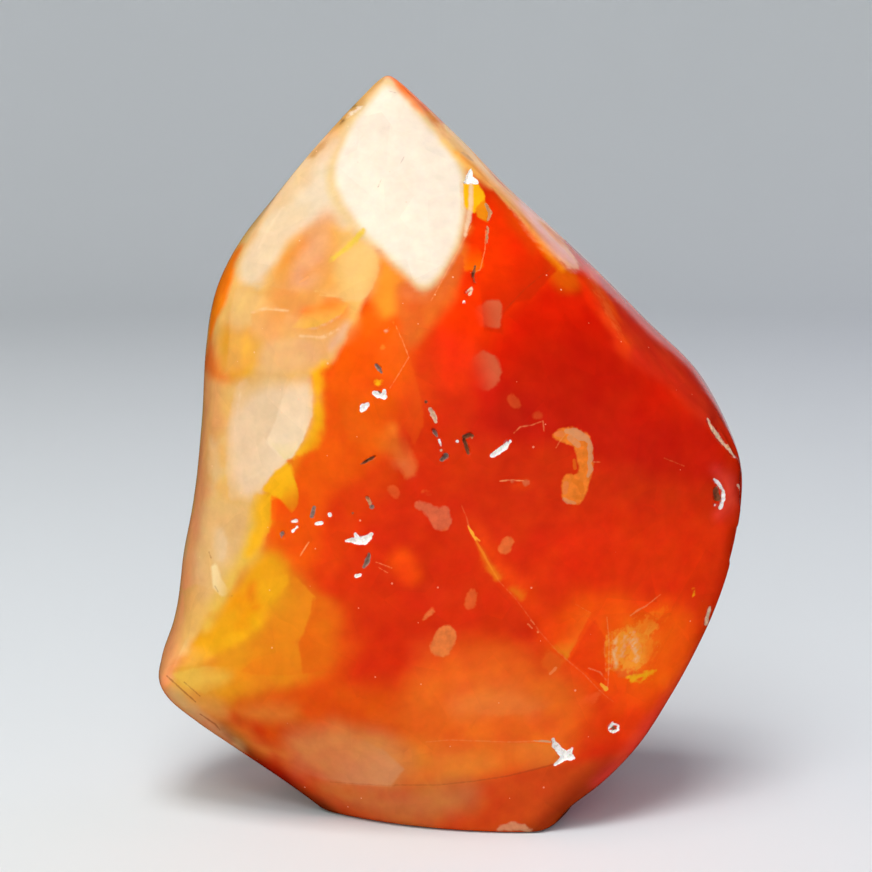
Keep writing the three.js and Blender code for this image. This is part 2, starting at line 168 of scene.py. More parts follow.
# Soft clouds of colour in painter's order, blended on the points of the mesh.
CLOUDS = (
    # The red body.
    Zone("orange_red", ((392, 296), (420, 318), (432, 350), (436, 400), (424, 440), (410, 470), (385, 500),
        (362, 530), (345, 566), (330, 596), (300, 604), (296, 560), (325, 500), (345, 440), (368, 380))),
    Zone("deep_red", ((502, 316), (556, 280), (606, 304), (660, 356), (708, 412), (738, 456), (736, 484),
        (690, 484), (636, 474), (590, 460), (540, 440), (500, 436), (468, 430), (470, 385), (486, 345))),
    Zone("dark_red", ((524, 345), (590, 332), (650, 372), (645, 408), (590, 425), (530, 424), (492, 428),
        (498, 385)), opacity=0.75),
    Zone("glow_red", ((470, 205), (505, 195), (562, 255), (548, 270), (502, 312), (476, 350), (456, 400),
        (434, 380), (436, 330), (455, 280)), soft=1.8),
    Zone("glow_red", ((560, 508), (640, 500), (732, 512), (728, 565), (712, 605), (690, 640), (600, 620),
        (545, 575)), soft=4.2),
    Zone("hot_orange", ((545, 612), (600, 592), (692, 604), (706, 628), (690, 672), (656, 700), (600, 706),
        (562, 676)), soft=3.2, opacity=0.9),
    Zone("vivid_orange", ((362, 300), (386, 302), (402, 318), (408, 345), (408, 384), (398, 424), (380, 452),
        (356, 472), (338, 498), (326, 524), (312, 548), (300, 568), (286, 562), (268, 545), (266, 520),
        (290, 490), (305, 455), (315, 420), (318, 390), (330, 362), (346, 332)), soft=2),
    Zone("body_deep", ((340, 560), (400, 520), (450, 530), (470, 590), (440, 660), (380, 670), (345, 630)),
        soft=4, opacity=0.5),
    Zone("burnt_orange", ((232, 690), (290, 680), (350, 672), (440, 700), (440, 745), (330, 742), (272, 756),
        (240, 722))),
    Zone("tan_orange", ((228, 704), (262, 700), (300, 706), (300, 726), (262, 730), (236, 722)), soft=1.8,
        opacity=0.6),
    Zone("clouded_orange", ((404, 690), (440, 664), (500, 654), (556, 672), (590, 700), (588, 728),
        (562, 768), (510, 780), (430, 786), (400, 760)), soft=3.2, grain=0.6),
    band("hot_orange", (((586, 724, 14), (612, 716, 14), (640, 698, 10)),), opacity=0.45),
    band("milky_orange", (((462, 706, 9), (486, 700, 12), (510, 700, 11), (530, 706, 6)),), soft=2.6,
        opacity=0.7),
    Zone("clouded_orange", ((410, 640), (500, 640), (560, 660), (500, 690), (430, 690)), soft=3.2,
        opacity=0.45),
    # The foot below the two lines.
    Zone("ember", ((300, 772), (400, 786), (480, 778), (560, 762), (640, 750), (620, 800), (560, 850),
        (400, 850), (300, 810)), soft=1.4),
    # Partly painted reflection: the lower front tilts down towards the floor, and this pale band adds the white
    # floor mirrored in the polish to the stone's milky haze.
    Zone("beige", ((281, 738), (290, 729), (314, 725), (350, 725), (382, 733), (408, 748), (416, 768),
        (396, 786), (350, 785), (318, 778), (292, 770)), soft=2.4, grain=0.5, opacity=0.8),
    Zone("tan_orange", ((396, 744), (440, 748), (500, 752), (500, 776), (440, 784), (400, 786)), soft=2.6,
        grain=0.5, opacity=0.5),
    band("tan_low", (((212, 722, 5), (238, 738, 7), (262, 748, 7), (286, 756, 5)),), soft=2.2, grain=0.5,
        opacity=0.75),
    Zone("beige_deep", ((322, 786), (360, 790), (440, 786), (474, 784), (478, 800), (450, 820), (400, 822),
        (352, 812), (332, 800)), soft=2.6, grain=0.6, opacity=0.7),
    # Painted shade: near-black bands along the lower left edge, the front of the foot and the lower right edge,
    # where the stone curves under into its contact shadow.
    band("rim_dark", (((222, 730, 3), (246, 750, 5), (276, 778, 7), (306, 804, 9), (340, 822, 8), (380, 834, 6),
        (440, 840, 4)),), soft=1.6, grain=0.4, opacity=0.9, reach=30),
    band("rim_dark", (((400, 840, 4), (450, 840, 4), (500, 840, 4), (540, 836, 3)),), soft=0.8, grain=0.3,
        opacity=0.7, reach=30),
    band("rim_dark", (((532, 832, 5), (560, 808, 9), (590, 784, 8), (612, 764, 4)),), soft=2.4, grain=0.4,
        opacity=0.55, reach=24),
    # The amber corner low on the left.
    Zone("amber", ((262, 548), (292, 576), (316, 599), (334, 600), (336, 632), (332, 668), (300, 680),
        (262, 700), (210, 712), (172, 698), (164, 668), (190, 622), (222, 590), (243, 562)), soft=2.4),
    Zone("amber_orange", ((262, 632), (300, 600), (330, 606), (330, 664), (290, 678), (246, 692), (228, 684)),
        soft=2.2, opacity=0.9),
    Zone("hot_amber", ((318, 600), (350, 604), (356, 668), (326, 680), (304, 676), (314, 640)), soft=3.4,
        opacity=0.75),
    Zone("amber_bright", ((242, 578), (262, 552), (290, 576), (282, 600), (256, 628), (205, 664), (190, 656),
        (214, 612)), soft=1.4, opacity=0.85),
    band("gold", (((200, 660, 2), (222, 648, 3), (246, 634, 3), (262, 622, 2)),), soft=0.9, grain=0.4,
        opacity=0.55),
    band("amber_clear", (((224, 606, 5), (238, 600, 9), (250, 606, 9), (240, 624, 6)),), soft=1.5, grain=0.5,
        opacity=0.9),
    Zone("tan_gold", ((166, 676), (184, 690), (222, 702), (232, 716), (206, 718), (170, 702)), soft=1.6,
        opacity=0.8),
    Zone("pale_gold", ((172, 674), (200, 668), (232, 672), (226, 684), (204, 692), (182, 684)), soft=1.6,
        opacity=0.75),
    band("hot_amber", (((251, 586, 3.5), (251, 594, 4), (253, 604, 2)),), soft=1.2, opacity=0.75),
    # The pale band that climbs the left side.
    Zone("peach", ((384, 70), (372, 90), (360, 130), (350, 232), (366, 244), (380, 254), (379, 268),
        (371, 290), (359, 309), (351, 328), (343, 346), (332, 360), (316, 368), (310, 380), (313, 396),
        (310, 413), (305, 432), (298, 446), (288, 460), (280, 470), (266, 482), (261, 508), (256, 532),
        (248, 554), (238, 576), (224, 598), (208, 616), (196, 640), (186, 655), (166, 668), (150, 700),
        (100, 690), (110, 560), (130, 400), (150, 300), (190, 210), (260, 140), (330, 70)), soft=0.6,
        grain=0.3, reach=18),
    Zone("pale_beige", ((288, 172), (335, 128), (352, 150), (348, 200), (352, 234), (325, 222), (300, 232),
        (282, 246), (266, 280), (256, 292), (240, 282), (240, 262), (262, 218)), soft=1.5, reach=18),
    band("straw", (((352, 112, 6), (318, 154, 6), (290, 188, 6), (264, 222, 5), (250, 244, 3)),), soft=1.4,
        opacity=0.6, reach=18),
    Zone("cream_column", ((290, 206), (316, 200), (300, 226), (284, 246), (270, 272), (256, 292), (240, 284),
        (238, 262), (252, 240), (270, 214)), soft=1, grain=0.3),
    Zone("straw_pale", ((238, 282), (262, 290), (256, 312), (247, 332), (240, 346), (228, 344), (222, 318),
        (230, 296)), soft=1, grain=0.3),
    Zone("apricot", ((262, 290), (280, 256), (306, 230), (334, 218), (345, 236), (336, 262), (350, 300),
        (352, 326), (338, 336), (300, 340), (276, 352), (258, 340), (252, 312)), soft=1.9),
    Zone("apricot_tan", ((296, 248), (318, 226), (336, 232), (326, 262), (318, 292), (296, 296), (284, 282)),
        soft=1.4, opacity=0.9),
    band("apricot_deep", (((302, 244, 4), (290, 256, 5), (279, 272, 5), (268, 292, 4)), ((268, 306, 5),
        (280, 314, 6)), ((318, 268, 3), (306, 276, 3))), soft=1.7, opacity=0.8),
    band("streak_orange", (((306, 312, 8), (322, 308, 9), (336, 306, 7)),), soft=1.1, opacity=0.9),
    Zone("honey", ((224, 322), (240, 330), (250, 322), (260, 340), (262, 372), (248, 386), (230, 384),
        (222, 360)), soft=1.2, grain=0.5, opacity=0.9),
    band("honey_deep", (((246, 340, 3), (247, 356, 6), (250, 370, 6)),), soft=1.1, opacity=0.9),
    Zone("apricot_pale", ((264, 344), (300, 336), (330, 334), (336, 344), (326, 360), (302, 370), (278, 376),
        (262, 366)), soft=1.2, grain=0.4),
    band("sand_deep", (((302, 340, 5), (312, 352, 6), (300, 362, 4)),), soft=1.3, opacity=0.75),
    band("blush", (((346, 326, 4), (340, 336, 5), (331, 348, 4)),), soft=0.8, grain=0.3, opacity=0.9),
    Zone("straw", ((236, 384), (268, 374), (292, 376), (284, 398), (244, 402), (232, 396)), soft=1.3,
        opacity=0.8),
    Zone("light_peach", ((230, 430), (240, 402), (262, 388), (288, 384), (314, 384), (313, 415), (301, 446),
        (285, 468), (262, 488), (248, 500), (235, 492), (230, 460)), soft=1.5, grain=0.3),
    band("sand_straw", (((216, 384, 5), (213, 430, 6), (206, 476, 5), (200, 520, 5), (194, 560, 5),
        (186, 600, 5)),), soft=1.4, grain=0.6, opacity=0.8),
    band("honey_pale", (((215, 444, 3), (216, 470, 4), (214, 492, 2)), ((196, 556, 4), (200, 574, 5)),
        ((236, 540, 4), (230, 560, 5))), soft=1, grain=0.5, opacity=0.65),
    Zone("straw", ((204, 502), (250, 496), (248, 530), (238, 556), (226, 586), (206, 602), (194, 592),
        (198, 540)), soft=1.3, opacity=0.8),
    Zone("facet_sand", ((211, 530), (222, 526), (229, 540), (226, 560), (214, 562)), soft=0.9, grain=0.4,
        opacity=0.75),
    band("pale_gold", (((262, 502, 4), (256, 530, 6), (250, 552, 8), (236, 574, 8), (222, 598, 6),
        (206, 626, 4)),), soft=1.2, grain=0.4, opacity=0.9),
    band("rim_peach", (((203, 345, 3), (204, 400, 5), (199, 440, 5), (193, 490, 6), (188, 540, 6),
        (180, 600, 7), (170, 650, 7), (163, 678, 7)),), soft=1.1, grain=0.3, opacity=0.9, reach=24),
    band("orange_edge", (((240, 248, 2), (232, 262, 4), (226, 280, 7), (219, 298, 7), (212, 318, 5),
        (207, 338, 3)),), soft=0.5, grain=0.2, reach=14),
    band("blotch_orange", (((206, 340, 3), (208, 358, 6), (214, 372, 6), (224, 378, 3)),), soft=1.2, grain=0.5,
        opacity=0.85, reach=14),
    band("gold", (((324, 364, 1.5), (316, 374, 4), (318, 400, 6), (318, 424, 7), (309, 442, 6), (298, 454, 5),
        (284, 474, 8), (266, 504, 6), (260, 530, 6), (252, 552, 6)),), soft=0.9, grain=0.4, opacity=0.9),
    band("tan", (((168, 692, 5), (192, 712, 6), (216, 730, 5), (240, 748, 3)),), soft=1, grain=0.3,
        opacity=0.8, reach=30),
    # Below the cap.
    Zone("column_gold", ((380, 252), (390, 256), (404, 270), (412, 286), (404, 302), (394, 318), (380, 320),
        (373, 302), (370, 286), (376, 268)), soft=1.2, opacity=0.9),
    Zone("yellow_cream", ((340, 252), (356, 240), (372, 240), (380, 254), (376, 276), (366, 296), (348, 296),
        (338, 286), (334, 268)), soft=1.4, grain=0.6, opacity=0.85),
    Zone("salmon", ((400, 282), (426, 292), (450, 270), (462, 240), (468, 244), (462, 276), (444, 310),
        (420, 344), (404, 346), (398, 318)), soft=1.2, opacity=0.9),
    band("pale_salmon", (((410, 292, 5), (428, 296, 6), (444, 280, 4)),), soft=1.2, opacity=0.7),
    band("salmon", (((468, 226, 3), (456, 256, 5), (440, 290, 4), (424, 322, 3)),), soft=0.8, grain=0.3,
        opacity=0.8),
    # The milky cap at the top.
    Zone("cap_warm", ((387, 72), (404, 84), (424, 106), (438, 128), (460, 146), (468, 172), (468, 205),
        (464, 236), (453, 262), (440, 280), (426, 292), (412, 285), (395, 268), (374, 246), (352, 234),
        (334, 208), (326, 185), (328, 158), (340, 131), (352, 114), (364, 100), (376, 84)), soft=0.8,
        grain=0.15, reach=12),
    Zone("cream", ((386, 84), (400, 94), (414, 112), (430, 130), (447, 146), (458, 164), (463, 186),
        (463, 208), (460, 230), (451, 254), (440, 271), (430, 282), (420, 283), (408, 274), (396, 262),
        (378, 243), (360, 226), (345, 205), (336, 185), (336, 160), (344, 142), (356, 120), (370, 104),
        (379, 92)), soft=0.7, grain=0.12, reach=12),
    band("tawny", (((384, 75, 2), (364, 94, 2.8), (346, 114, 3.6), (330, 134, 3.6), (312, 156, 2)),),
        soft=0.7, grain=0.5, opacity=0.9, reach=9),
    band("ridge_bright", (((391, 77, 1), (406, 89, 2.6), (420, 103, 3.2), (431, 112, 3.6), (440, 122, 2.6)),),
        soft=0.7, grain=0.4, opacity=0.9, reach=9),
    band("apricot", (((430, 114, 4), (446, 132, 5), (460, 146, 5), (470, 160, 3)),), soft=0.7, grain=0.3,
        opacity=0.85, reach=9),
    band("ridge_orange", (((494, 192, 3), (500, 198, 4), (516, 220, 6), (534, 248, 6)),), soft=1.3, grain=0.3,
        opacity=0.8),
    band("ridge_golden", (((444, 140, 2), (458, 154, 4), (470, 166, 5), (482, 178, 4), (490, 186, 2)),),
        soft=0.9, grain=0.3, opacity=0.9),
    # The narrow right face and the right edge.
    Zone("orange", ((546, 248), (560, 254), (576, 268), (582, 286), (568, 292), (552, 276)), soft=1.2,
        grain=0.5, opacity=0.95, reach=17),
    Zone("streak_red", ((578, 250), (596, 262), (614, 288), (630, 324), (626, 344), (604, 320), (588, 294),
        (578, 270)), soft=1.2, grain=0.9, opacity=0.8, reach=17),
    Zone("brick", ((594, 282), (612, 296), (660, 342), (702, 382), (736, 432), (740, 452), (716, 424),
        (684, 400), (640, 366), (606, 330)), soft=1.3, opacity=0.85, reach=17),
    band("edge_red", (((690, 402, 4), (706, 416, 6), (722, 420, 4)), ((728, 470, 5), (734, 490, 5),
        (732, 512, 4))), soft=1.6, opacity=0.6, reach=17),
    # Painted reflection: the lower right edge turns down to the floor. Over the stone's red, a coral band with
    # a mauve line on it stands in for the floor's lilac, mirrored at a grazing angle.
    band("rim_coral", (((706, 640, 3), (686, 676, 4), (660, 716, 5), (630, 754, 5), (598, 784, 4)),),
        soft=1.4, grain=0.3, opacity=0.5, reach=10),
    band("mauve", (((712, 640, 1), (692, 680, 2), (666, 720, 2.6), (636, 756, 2.4), (604, 788, 2)),),
        soft=0.7, grain=0.2, opacity=0.55, reach=10),
    # Painted reflection again, mixed with the stone's red, where the right edge turns away at mid height.
    band("rim_coral", (((716, 470, 4), (727, 482, 6), (730, 500, 5), (718, 514, 4)),), soft=1.2, grain=0.4,
        opacity=0.55, reach=10),
    # Lights and clouds inside the red.
    band("cloud_gold", (((394, 428, 7), (396, 444, 9), (404, 460, 8)),), soft=1.4, opacity=0.4),
    band("cloud_tan", (((404, 464, 8), (409, 472, 6)),), soft=1.2, opacity=0.6),
    band("hot_orange", (((402, 562, 10), (410, 574, 9)), ((525, 482, 4), (516, 486, 3))), soft=1.6,
        opacity=0.7),
    band("hot_orange", (((470, 520, 3), (486, 545, 6), (500, 566, 8), (518, 590, 8), (532, 606, 8),
        (548, 628, 8), (562, 646, 5)),), soft=2, grain=0.4, opacity=0.6),
    band("body", (((484, 590, 6), (506, 612, 8), (528, 640, 8), (548, 664, 6)),), soft=2, grain=0.4,
        opacity=0.5),
    band("amber_orange", (((477, 543, 1.4), (484, 556, 2), (492, 570, 3.2), (497, 578, 2)), ((513, 590, 2.4),
        (521, 597, 4))), soft=0.5, grain=0.3, opacity=0.6),
    Zone("orange_patch", ((604, 618), (640, 606), (676, 606), (696, 628), (680, 664), (660, 690), (618, 686),
        (606, 660)), soft=1.8, opacity=0.85),
    Zone("streak_orange", ((612, 632), (634, 616), (652, 620), (656, 650), (646, 670), (618, 668), (609, 652)),
        soft=1, opacity=0.65),
    band("hot_orange", (((596, 280, 5), (612, 318, 6), (628, 344, 4)),), soft=1.4, opacity=0.7, reach=17),
    # The back, which the photograph doesn't show: the same bands, carried through.
    Zone("glow_red", ((-6, 18), (20, 18), (34, 30), (30, 44), (10, 50), (-8, 40)), soft=4, side="back"),
    Zone("burnt_orange", ((-20, 2), (24, 3), (30, 14), (-8, 18), (-26, 12)), soft=3.4, side="back"),
    Zone("clouded_orange", ((2, 8), (22, 8), (28, 18), (12, 22), (2, 16)), soft=2.6, opacity=0.8,
        side="back"),
    Zone("deep_red", ((2, 46), (14, 36), (30, 38), (38, 48), (34, 62), (18, 70), (4, 66), (-4, 56)), soft=3.2,
        side="back"),
    Zone("dark_red", ((8, 50), (22, 46), (28, 54), (18, 62), (8, 60)), opacity=0.7, side="back"),
    Zone("vivid_orange", ((-14, 90), (-3, 86), (2, 70), (-6, 56), (-14, 44), (-20, 38), (-20, 56), (-16, 72)),
        soft=2.6, side="back"),
    # The same band low on the back, partly a painted reflection of the floor.
    Zone("beige", ((-8, 1), (14, 1), (20, 7), (10, 10), (-6, 8)), soft=1.6, opacity=0.8, side="back"),
    Zone("amber", ((-32, 8), (-14, 9), (-4, 16), (-2, 26), (-12, 30), (-24, 26), (-36, 20)), soft=2.4,
        grain=1.8, side="back"),
    Zone("amber_bright", ((-30, 14), (-18, 14), (-12, 22), (-22, 26), (-32, 20)), soft=2, opacity=0.8,
        side="back"),
    Zone("peach", ((-48, 14), (-46, 36), (-44, 60), (-36, 82), (-26, 96), (-12, 112), (-8, 106), (-13, 94),
        (-15, 84), (-21, 70), (-18, 58), (-24, 44), (-26, 32), (-32, 22)), soft=1.1, grain=0.9, side="back"),
    Zone("pale_beige", ((-36, 50), (-29, 46), (-25, 56), (-21, 66), (-24, 80), (-27, 92), (-34, 78)), soft=2.2,
        grain=2, opacity=0.8, side="back"),
    Zone("sand", ((-32, 30), (-28, 28), (-26, 40), (-30, 48), (-34, 40)), soft=1.6, grain=1.8, opacity=0.8,
        side="back"),
    Zone("honey", ((-24, 92), (-18, 88), (-18, 76), (-24, 72), (-28, 80)), soft=1.5, grain=1.8, opacity=0.8,
        side="back"),
    band("gold", (((-15, 92, 0.5), (-15, 84, 0.8), (-20, 71, 1), (-18, 58, 1.2), (-23, 44, 1), (-25, 33, 1.4),
        (-31, 23, 1.2)),), soft=1, grain=0.6, opacity=0.9, side="back"),
    Zone("cream", ((-16, 114), (0, 114), (2, 101), (-2, 93), (-8, 91), (-13, 98)), soft=1.1, grain=1.8,
        side="back"),
)

# Thin veils inside the stone: old fracture planes that catch the light along an edge. They are so crisp that
# the material draws their edges.
VEILS = (
    veil("yellow_cream", ((310, 287), (326, 295), (343, 299), (359, 301), (368, 296), (376, 276), (360, 266),
        (336, 274)), opacity=0.9, fade=((346, 304), (342, 280))),
    veil("apricot_pale", ((252, 284), (268, 286), (288, 290), (302, 292), (300, 270), (262, 270)), soft=0.22,
        grain=0.12, opacity=0.3, fade=((276, 292), (278, 274))),
    veil("apricot_core_low", ((292, 328), (314, 328), (330, 321), (343, 313), (350, 302), (338, 298),
        (314, 300)), opacity=0.9, fade=((326, 328), (318, 298))),
    band("blush", (((290, 328.5, 0.5), (306, 330, 0.9), (316, 328, 1), (330, 322, 1), (342, 314, 0.6)),),
        soft=0.2, grain=0, opacity=0.6),
    band("cream_gold", (((311, 288, 0.7), (320, 294, 1.2), (334, 297, 1), (348, 301, 1.4), (360, 301, 0.9)),),
        soft=0.2, grain=0.05, opacity=0.75),
    band("cream_gold", (((238, 281, 0.5), (256, 283, 0.7), (274, 291, 0.5)), ((262, 307, 0.6),
        (272, 310, 0.8), (287, 311, 0.5)), ((296, 226, 0.4), (312, 234, 0.5))), soft=0.2, grain=0.05,
        opacity=0.5),
    veil("apricot_deep", ((252, 312), (264, 310), (286, 313), (282, 334), (262, 342), (250, 332)), soft=0.4,
        grain=0.3, opacity=0.5, fade=((264, 310), (268, 342))),
    Zone("yellow", ((328, 261), (342, 248), (355, 236), (364, 226), (366, 232), (354, 246), (342, 254),
        (332, 262)), soft=0.3, grain=0.2, opacity=0.95),
    veil("cream_gold", ((362, 250), (374, 258), (380, 268), (372, 290), (364, 296), (360, 280)), grain=0.12,
        opacity=0.7, fade=((380, 276), (356, 272))),
    veil("blush_white", ((298, 370), (311, 377), (313, 392), (312, 416), (304, 438), (292, 458), (284, 460),
        (272, 449), (266, 442), (276, 420), (280, 404), (288, 386)), soft=0.22, opacity=0.9, fade=((300, 450),
        (296, 362))),
    veil("cream_light", ((268, 441), (284, 444), (302, 438), (292, 457), (284, 460)), soft=0.22, opacity=0.95,
        fade=((284, 462), (286, 432))),
    band("blush_white", (((246, 480, 0.6), (258, 474, 1.1), (262, 470, 0.6)), ((284, 206, 0.5),
        (270, 226, 0.9), (258, 250, 0.5)), ((240, 392, 0.6), (236, 420, 1), (236, 452, 0.6)),
        ((300, 336, 0.5), (322, 338, 1), (340, 328, 0.5)), ((252, 312, 0.5), (268, 308, 0.8),
        (288, 311, 0.6))), soft=0.3, grain=0.1, opacity=0.4),
    veil("blush_white", ((264, 437), (284, 460), (289, 462), (273, 474), (262, 490), (247, 492), (245, 474),
        (252, 453)), soft=0.22, opacity=0.6, fade=((278, 470), (244, 470))),
    veil("light_peach", ((238, 384), (247, 378), (256, 396), (256, 450), (246, 478), (242, 500), (230, 500),
        (226, 470), (229, 430), (232, 404)), soft=0.4, grain=0.15, opacity=0.45, fade=((226, 450),
        (254, 452))),
    veil("facet_sand", ((212, 532), (222, 528), (228, 544), (224, 562), (213, 560)), soft=0.3, grain=0.15,
        opacity=0.6, fade=((228, 546), (208, 544))),
    veil("cream_light", ((211, 566), (216, 563), (222, 580), (230, 590), (223, 598), (213, 588)),
        opacity=0.85, fade=((210, 582), (236, 584))),
    veil("sand", ((183, 590), (196, 584), (214, 590), (217, 600), (204, 630), (186, 634)), soft=0.3,
        grain=0.2, opacity=0.75, fade=((182, 606), (216, 616))),
    veil("gold", ((261, 490), (274, 472), (289, 461), (292, 474), (298, 488), (298, 504), (292, 512),
        (281, 501), (272, 494)), grain=0.12, opacity=0.95),
    veil("hot_amber", ((286, 484), (298, 480), (299, 504), (292, 513), (280, 500)), soft=0.3, grain=0.15,
        opacity=0.7, fade=((298, 506), (284, 484))),
    veil("pale_gold_light", ((254, 494), (270, 494), (271, 512), (269, 532), (254, 546), (243, 537),
        (247, 513)), soft=0.35, grain=0.2, opacity=0.85, fade=((272, 514), (240, 520))),
    veil("amber_bright", ((288, 574), (290, 584), (276, 598), (248, 609), (238, 600), (262, 578)), grain=0.12,
        opacity=0.8, fade=((282, 600), (258, 576))),
    veil("hot_orange", ((271, 496), (280, 499), (297, 516), (288, 522), (271, 520)), soft=0.3, grain=0.15,
        opacity=0.85, fade=((274, 500), (292, 520))),
    veil("vivid_orange", ((288, 460), (300, 456), (316, 450), (322, 470), (300, 486)), soft=0.4, grain=0.3,
        opacity=0.7),
    veil("amber_orange", ((275, 597), (295, 575), (316, 598), (314, 611), (303, 633), (297, 640), (262, 644),
        (246, 640)), soft=0.22, opacity=0.9, fade=((310, 620), (262, 612))),
    veil("hot_amber", ((312, 598), (340, 600), (346, 640), (342, 668), (303, 674), (298, 642), (304, 633),
        (311, 611)), grain=0.12, opacity=0.7, fade=((302, 636), (342, 640))),
    veil("amber_low_light", ((298, 641), (320, 650), (330, 662), (303, 674), (267, 676), (240, 672),
        (262, 652)), soft=0.3, grain=0.15, opacity=0.45, fade=((290, 678), (296, 646))),
    veil("pale_gold", ((173, 674), (205, 666), (240, 668), (228, 684), (204, 694), (184, 686)), grain=0.12,
        opacity=0.7, fade=((176, 672), (232, 690))),
    veil("tan_orange", ((396, 746), (470, 742), (540, 743), (554, 745), (560, 762), (540, 767), (508, 775),
        (475, 780), (440, 784), (400, 784)), grain=0.12, opacity=0.4, fade=((540, 744), (500, 782))),
    # Partly painted reflection: the brightest part of the band above the foot, where the floor is mirrored.
    veil("beige_pale", ((296, 748), (330, 737), (364, 740), (386, 752), (404, 769), (391, 786), (350, 784),
        (314, 777), (290, 766)), soft=0.3, opacity=0.6, fade=((378, 790), (344, 736))),
    veil("plane_red", ((504, 196), (566, 262), (553, 274), (531, 299), (514, 303), (503, 316), (503, 334),
        (484, 330), (478, 260)), opacity=0.9, fade=((520, 306), (486, 260))),
    veil("cloud_rim", ((488, 300), (500, 300), (502, 312), (500, 328), (490, 327), (474, 326), (474, 310)),
        soft=0.3, grain=0.2, opacity=0.75, fade=((502, 314), (474, 322))),
    veil("cloud_rim", ((484, 350), (496, 357), (502, 371), (498, 384), (488, 391), (474, 389), (468, 370),
        (474, 356)), soft=0.3, grain=0.2, opacity=0.75, fade=((500, 370), (470, 378))),
    veil("cloud_peach", ((392, 424), (403, 426), (409, 446), (417, 462), (416, 474), (406, 479), (396, 462),
        (388, 442)), soft=0.5, grain=0.2, opacity=0.7, fade=((416, 472), (390, 434))),
    veil("orange_lit", ((398, 326), (409, 357), (398, 374), (383, 396), (370, 384), (378, 350)), grain=0.15,
        opacity=0.5, fade=((408, 362), (372, 372))),
    veil("orange_lit", ((410, 358), (416, 380), (421, 398), (424, 424), (414, 446), (400, 420), (386, 398),
        (398, 376)), grain=0.15, opacity=0.35, fade=((424, 400), (394, 402))),
    veil("orange_lit", ((341, 420), (346, 404), (360, 396), (374, 400), (384, 416), (380, 436), (366, 446),
        (350, 440)), soft=0.35, grain=0.25, opacity=0.35, fade=((342, 430), (378, 414))),
    veil("burnt_light", ((591, 613), (567, 659), (553, 648), (546, 628), (570, 603)), soft=0.22, opacity=0.7,
        fade=((584, 642), (560, 626))),
    veil("amber_orange", ((580, 637), (567, 659), (552, 647), (562, 638)), soft=0.3, grain=0.2, opacity=0.8,
        fade=((568, 658), (566, 636))),
    veil("glow_red", ((594, 618), (606, 640), (604, 688), (570, 660), (582, 638)), grain=0.12, opacity=0.5),
    veil("clouded_orange", ((548, 650), (566, 660), (560, 668), (550, 674), (540, 664)), soft=0.4, grain=0.2,
        opacity=0.6),
    veil("streak_peach", ((604, 689), (595, 703), (580, 705), (571, 703), (590, 695)), soft=0.3, grain=0.3,
        opacity=0.7, fade=((602, 692), (572, 704))),
    veil("milky_orange", ((470, 700), (486, 690), (520, 686), (548, 694), (556, 704), (532, 712), (500, 716),
        (478, 714)), soft=0.35, grain=0.3, opacity=0.45, fade=((510, 720), (512, 690))),
    veil("clouded_orange", ((352, 700), (396, 694), (440, 706), (452, 720), (420, 726), (372, 722)), soft=0.4,
        grain=0.3, opacity=0.5, fade=((404, 728), (400, 696))),
    Zone("patch_pale", ((610, 636), (618, 631), (628, 633), (638, 626), (648, 618), (655, 624), (653, 640),
        (649, 656), (641, 668), (628, 671), (614, 667), (609, 655)), soft=0.8, grain=1.3, opacity=0.75),
    band("streak_orange", (((642, 630, 4), (650, 620, 4), (662, 609, 2)), ((648, 642, 5), (650, 656, 4)),
        ((626, 646, 2), (628, 656, 1))), soft=0.8, grain=1, opacity=0.75),
    band("light_peach", (((632, 636, 1.4), (636, 648, 2.4), (637, 658, 1.4)), ((616, 638, 0.8),
        (614, 652, 1.4), (616, 664, 0.8)), ((624, 640, 0.6), (622, 654, 1))), soft=0.5, grain=0.5,
        opacity=0.6),
    veil("patch_shade", ((610, 662), (624, 668), (644, 667), (650, 674), (636, 680), (618, 676)), soft=0.3,
        grain=0.3, opacity=0.4, fade=((622, 682), (630, 660))),
    band("gold", (((627, 676, 1.6), (633, 679, 3.4), (638, 674, 2), (644, 678, 3.4), (652, 671, 1.4)),),
        soft=0.4, grain=0.5, opacity=0.9),
    veil("orange_yellow", ((462, 246), (478, 242), (484, 266), (476, 272), (464, 270)), soft=0.3, grain=0.2,
        opacity=0.4, fade=((474, 274), (472, 242))),
    # Partly painted reflection: over the stone's milky colour, the narrow right face beside the cap gets the
    # pale peach of the backdrop mirrored at a grazing angle, and lower down its pinkish lilac.
    Zone("face_peach", ((440, 118), (470, 145), (520, 190), (560, 232), (588, 256), (578, 271), (564, 264),
        (548, 250), (524, 222), (494, 190), (468, 160), (448, 138)), soft=0.35, grain=0.12, reach=17),
    Zone("face_pink", ((508, 196), (532, 206), (560, 232), (588, 256), (578, 271), (564, 264), (548, 250),
        (530, 230)), soft=1, grain=0.3, opacity=0.9, reach=17),
    band("face_gold", (((440, 128, 4), (456, 143, 5), (470, 157, 5), (484, 171, 4), (496, 184, 2)),),
        soft=1.1, grain=0.3, opacity=0.8, reach=17),
    band("orange_yellow", (((456, 152, 1), (478, 170, 2), (498, 188, 2.6), (517, 208, 3), (534, 233, 3.4),
        (549, 254, 3.4), (562, 268, 3)),), soft=0.7, grain=0.15, opacity=0.8),
    band("streak_peach", (((598, 290, 1), (604, 302, 2.6), (610, 314, 2.6), (616, 328, 1.6), (622, 340, 0.8)),
        ((590, 276, 0.8), (596, 290, 1.4))), soft=0.35, grain=0.5, opacity=0.7, reach=17),
    veil("gold", ((463, 183), (478, 184), (485, 194), (484, 206), (474, 213), (464, 208)), soft=0.2),
    veil("amber_orange", ((475, 208), (484, 200), (490, 208), (488, 222), (478, 218)), soft=0.2),
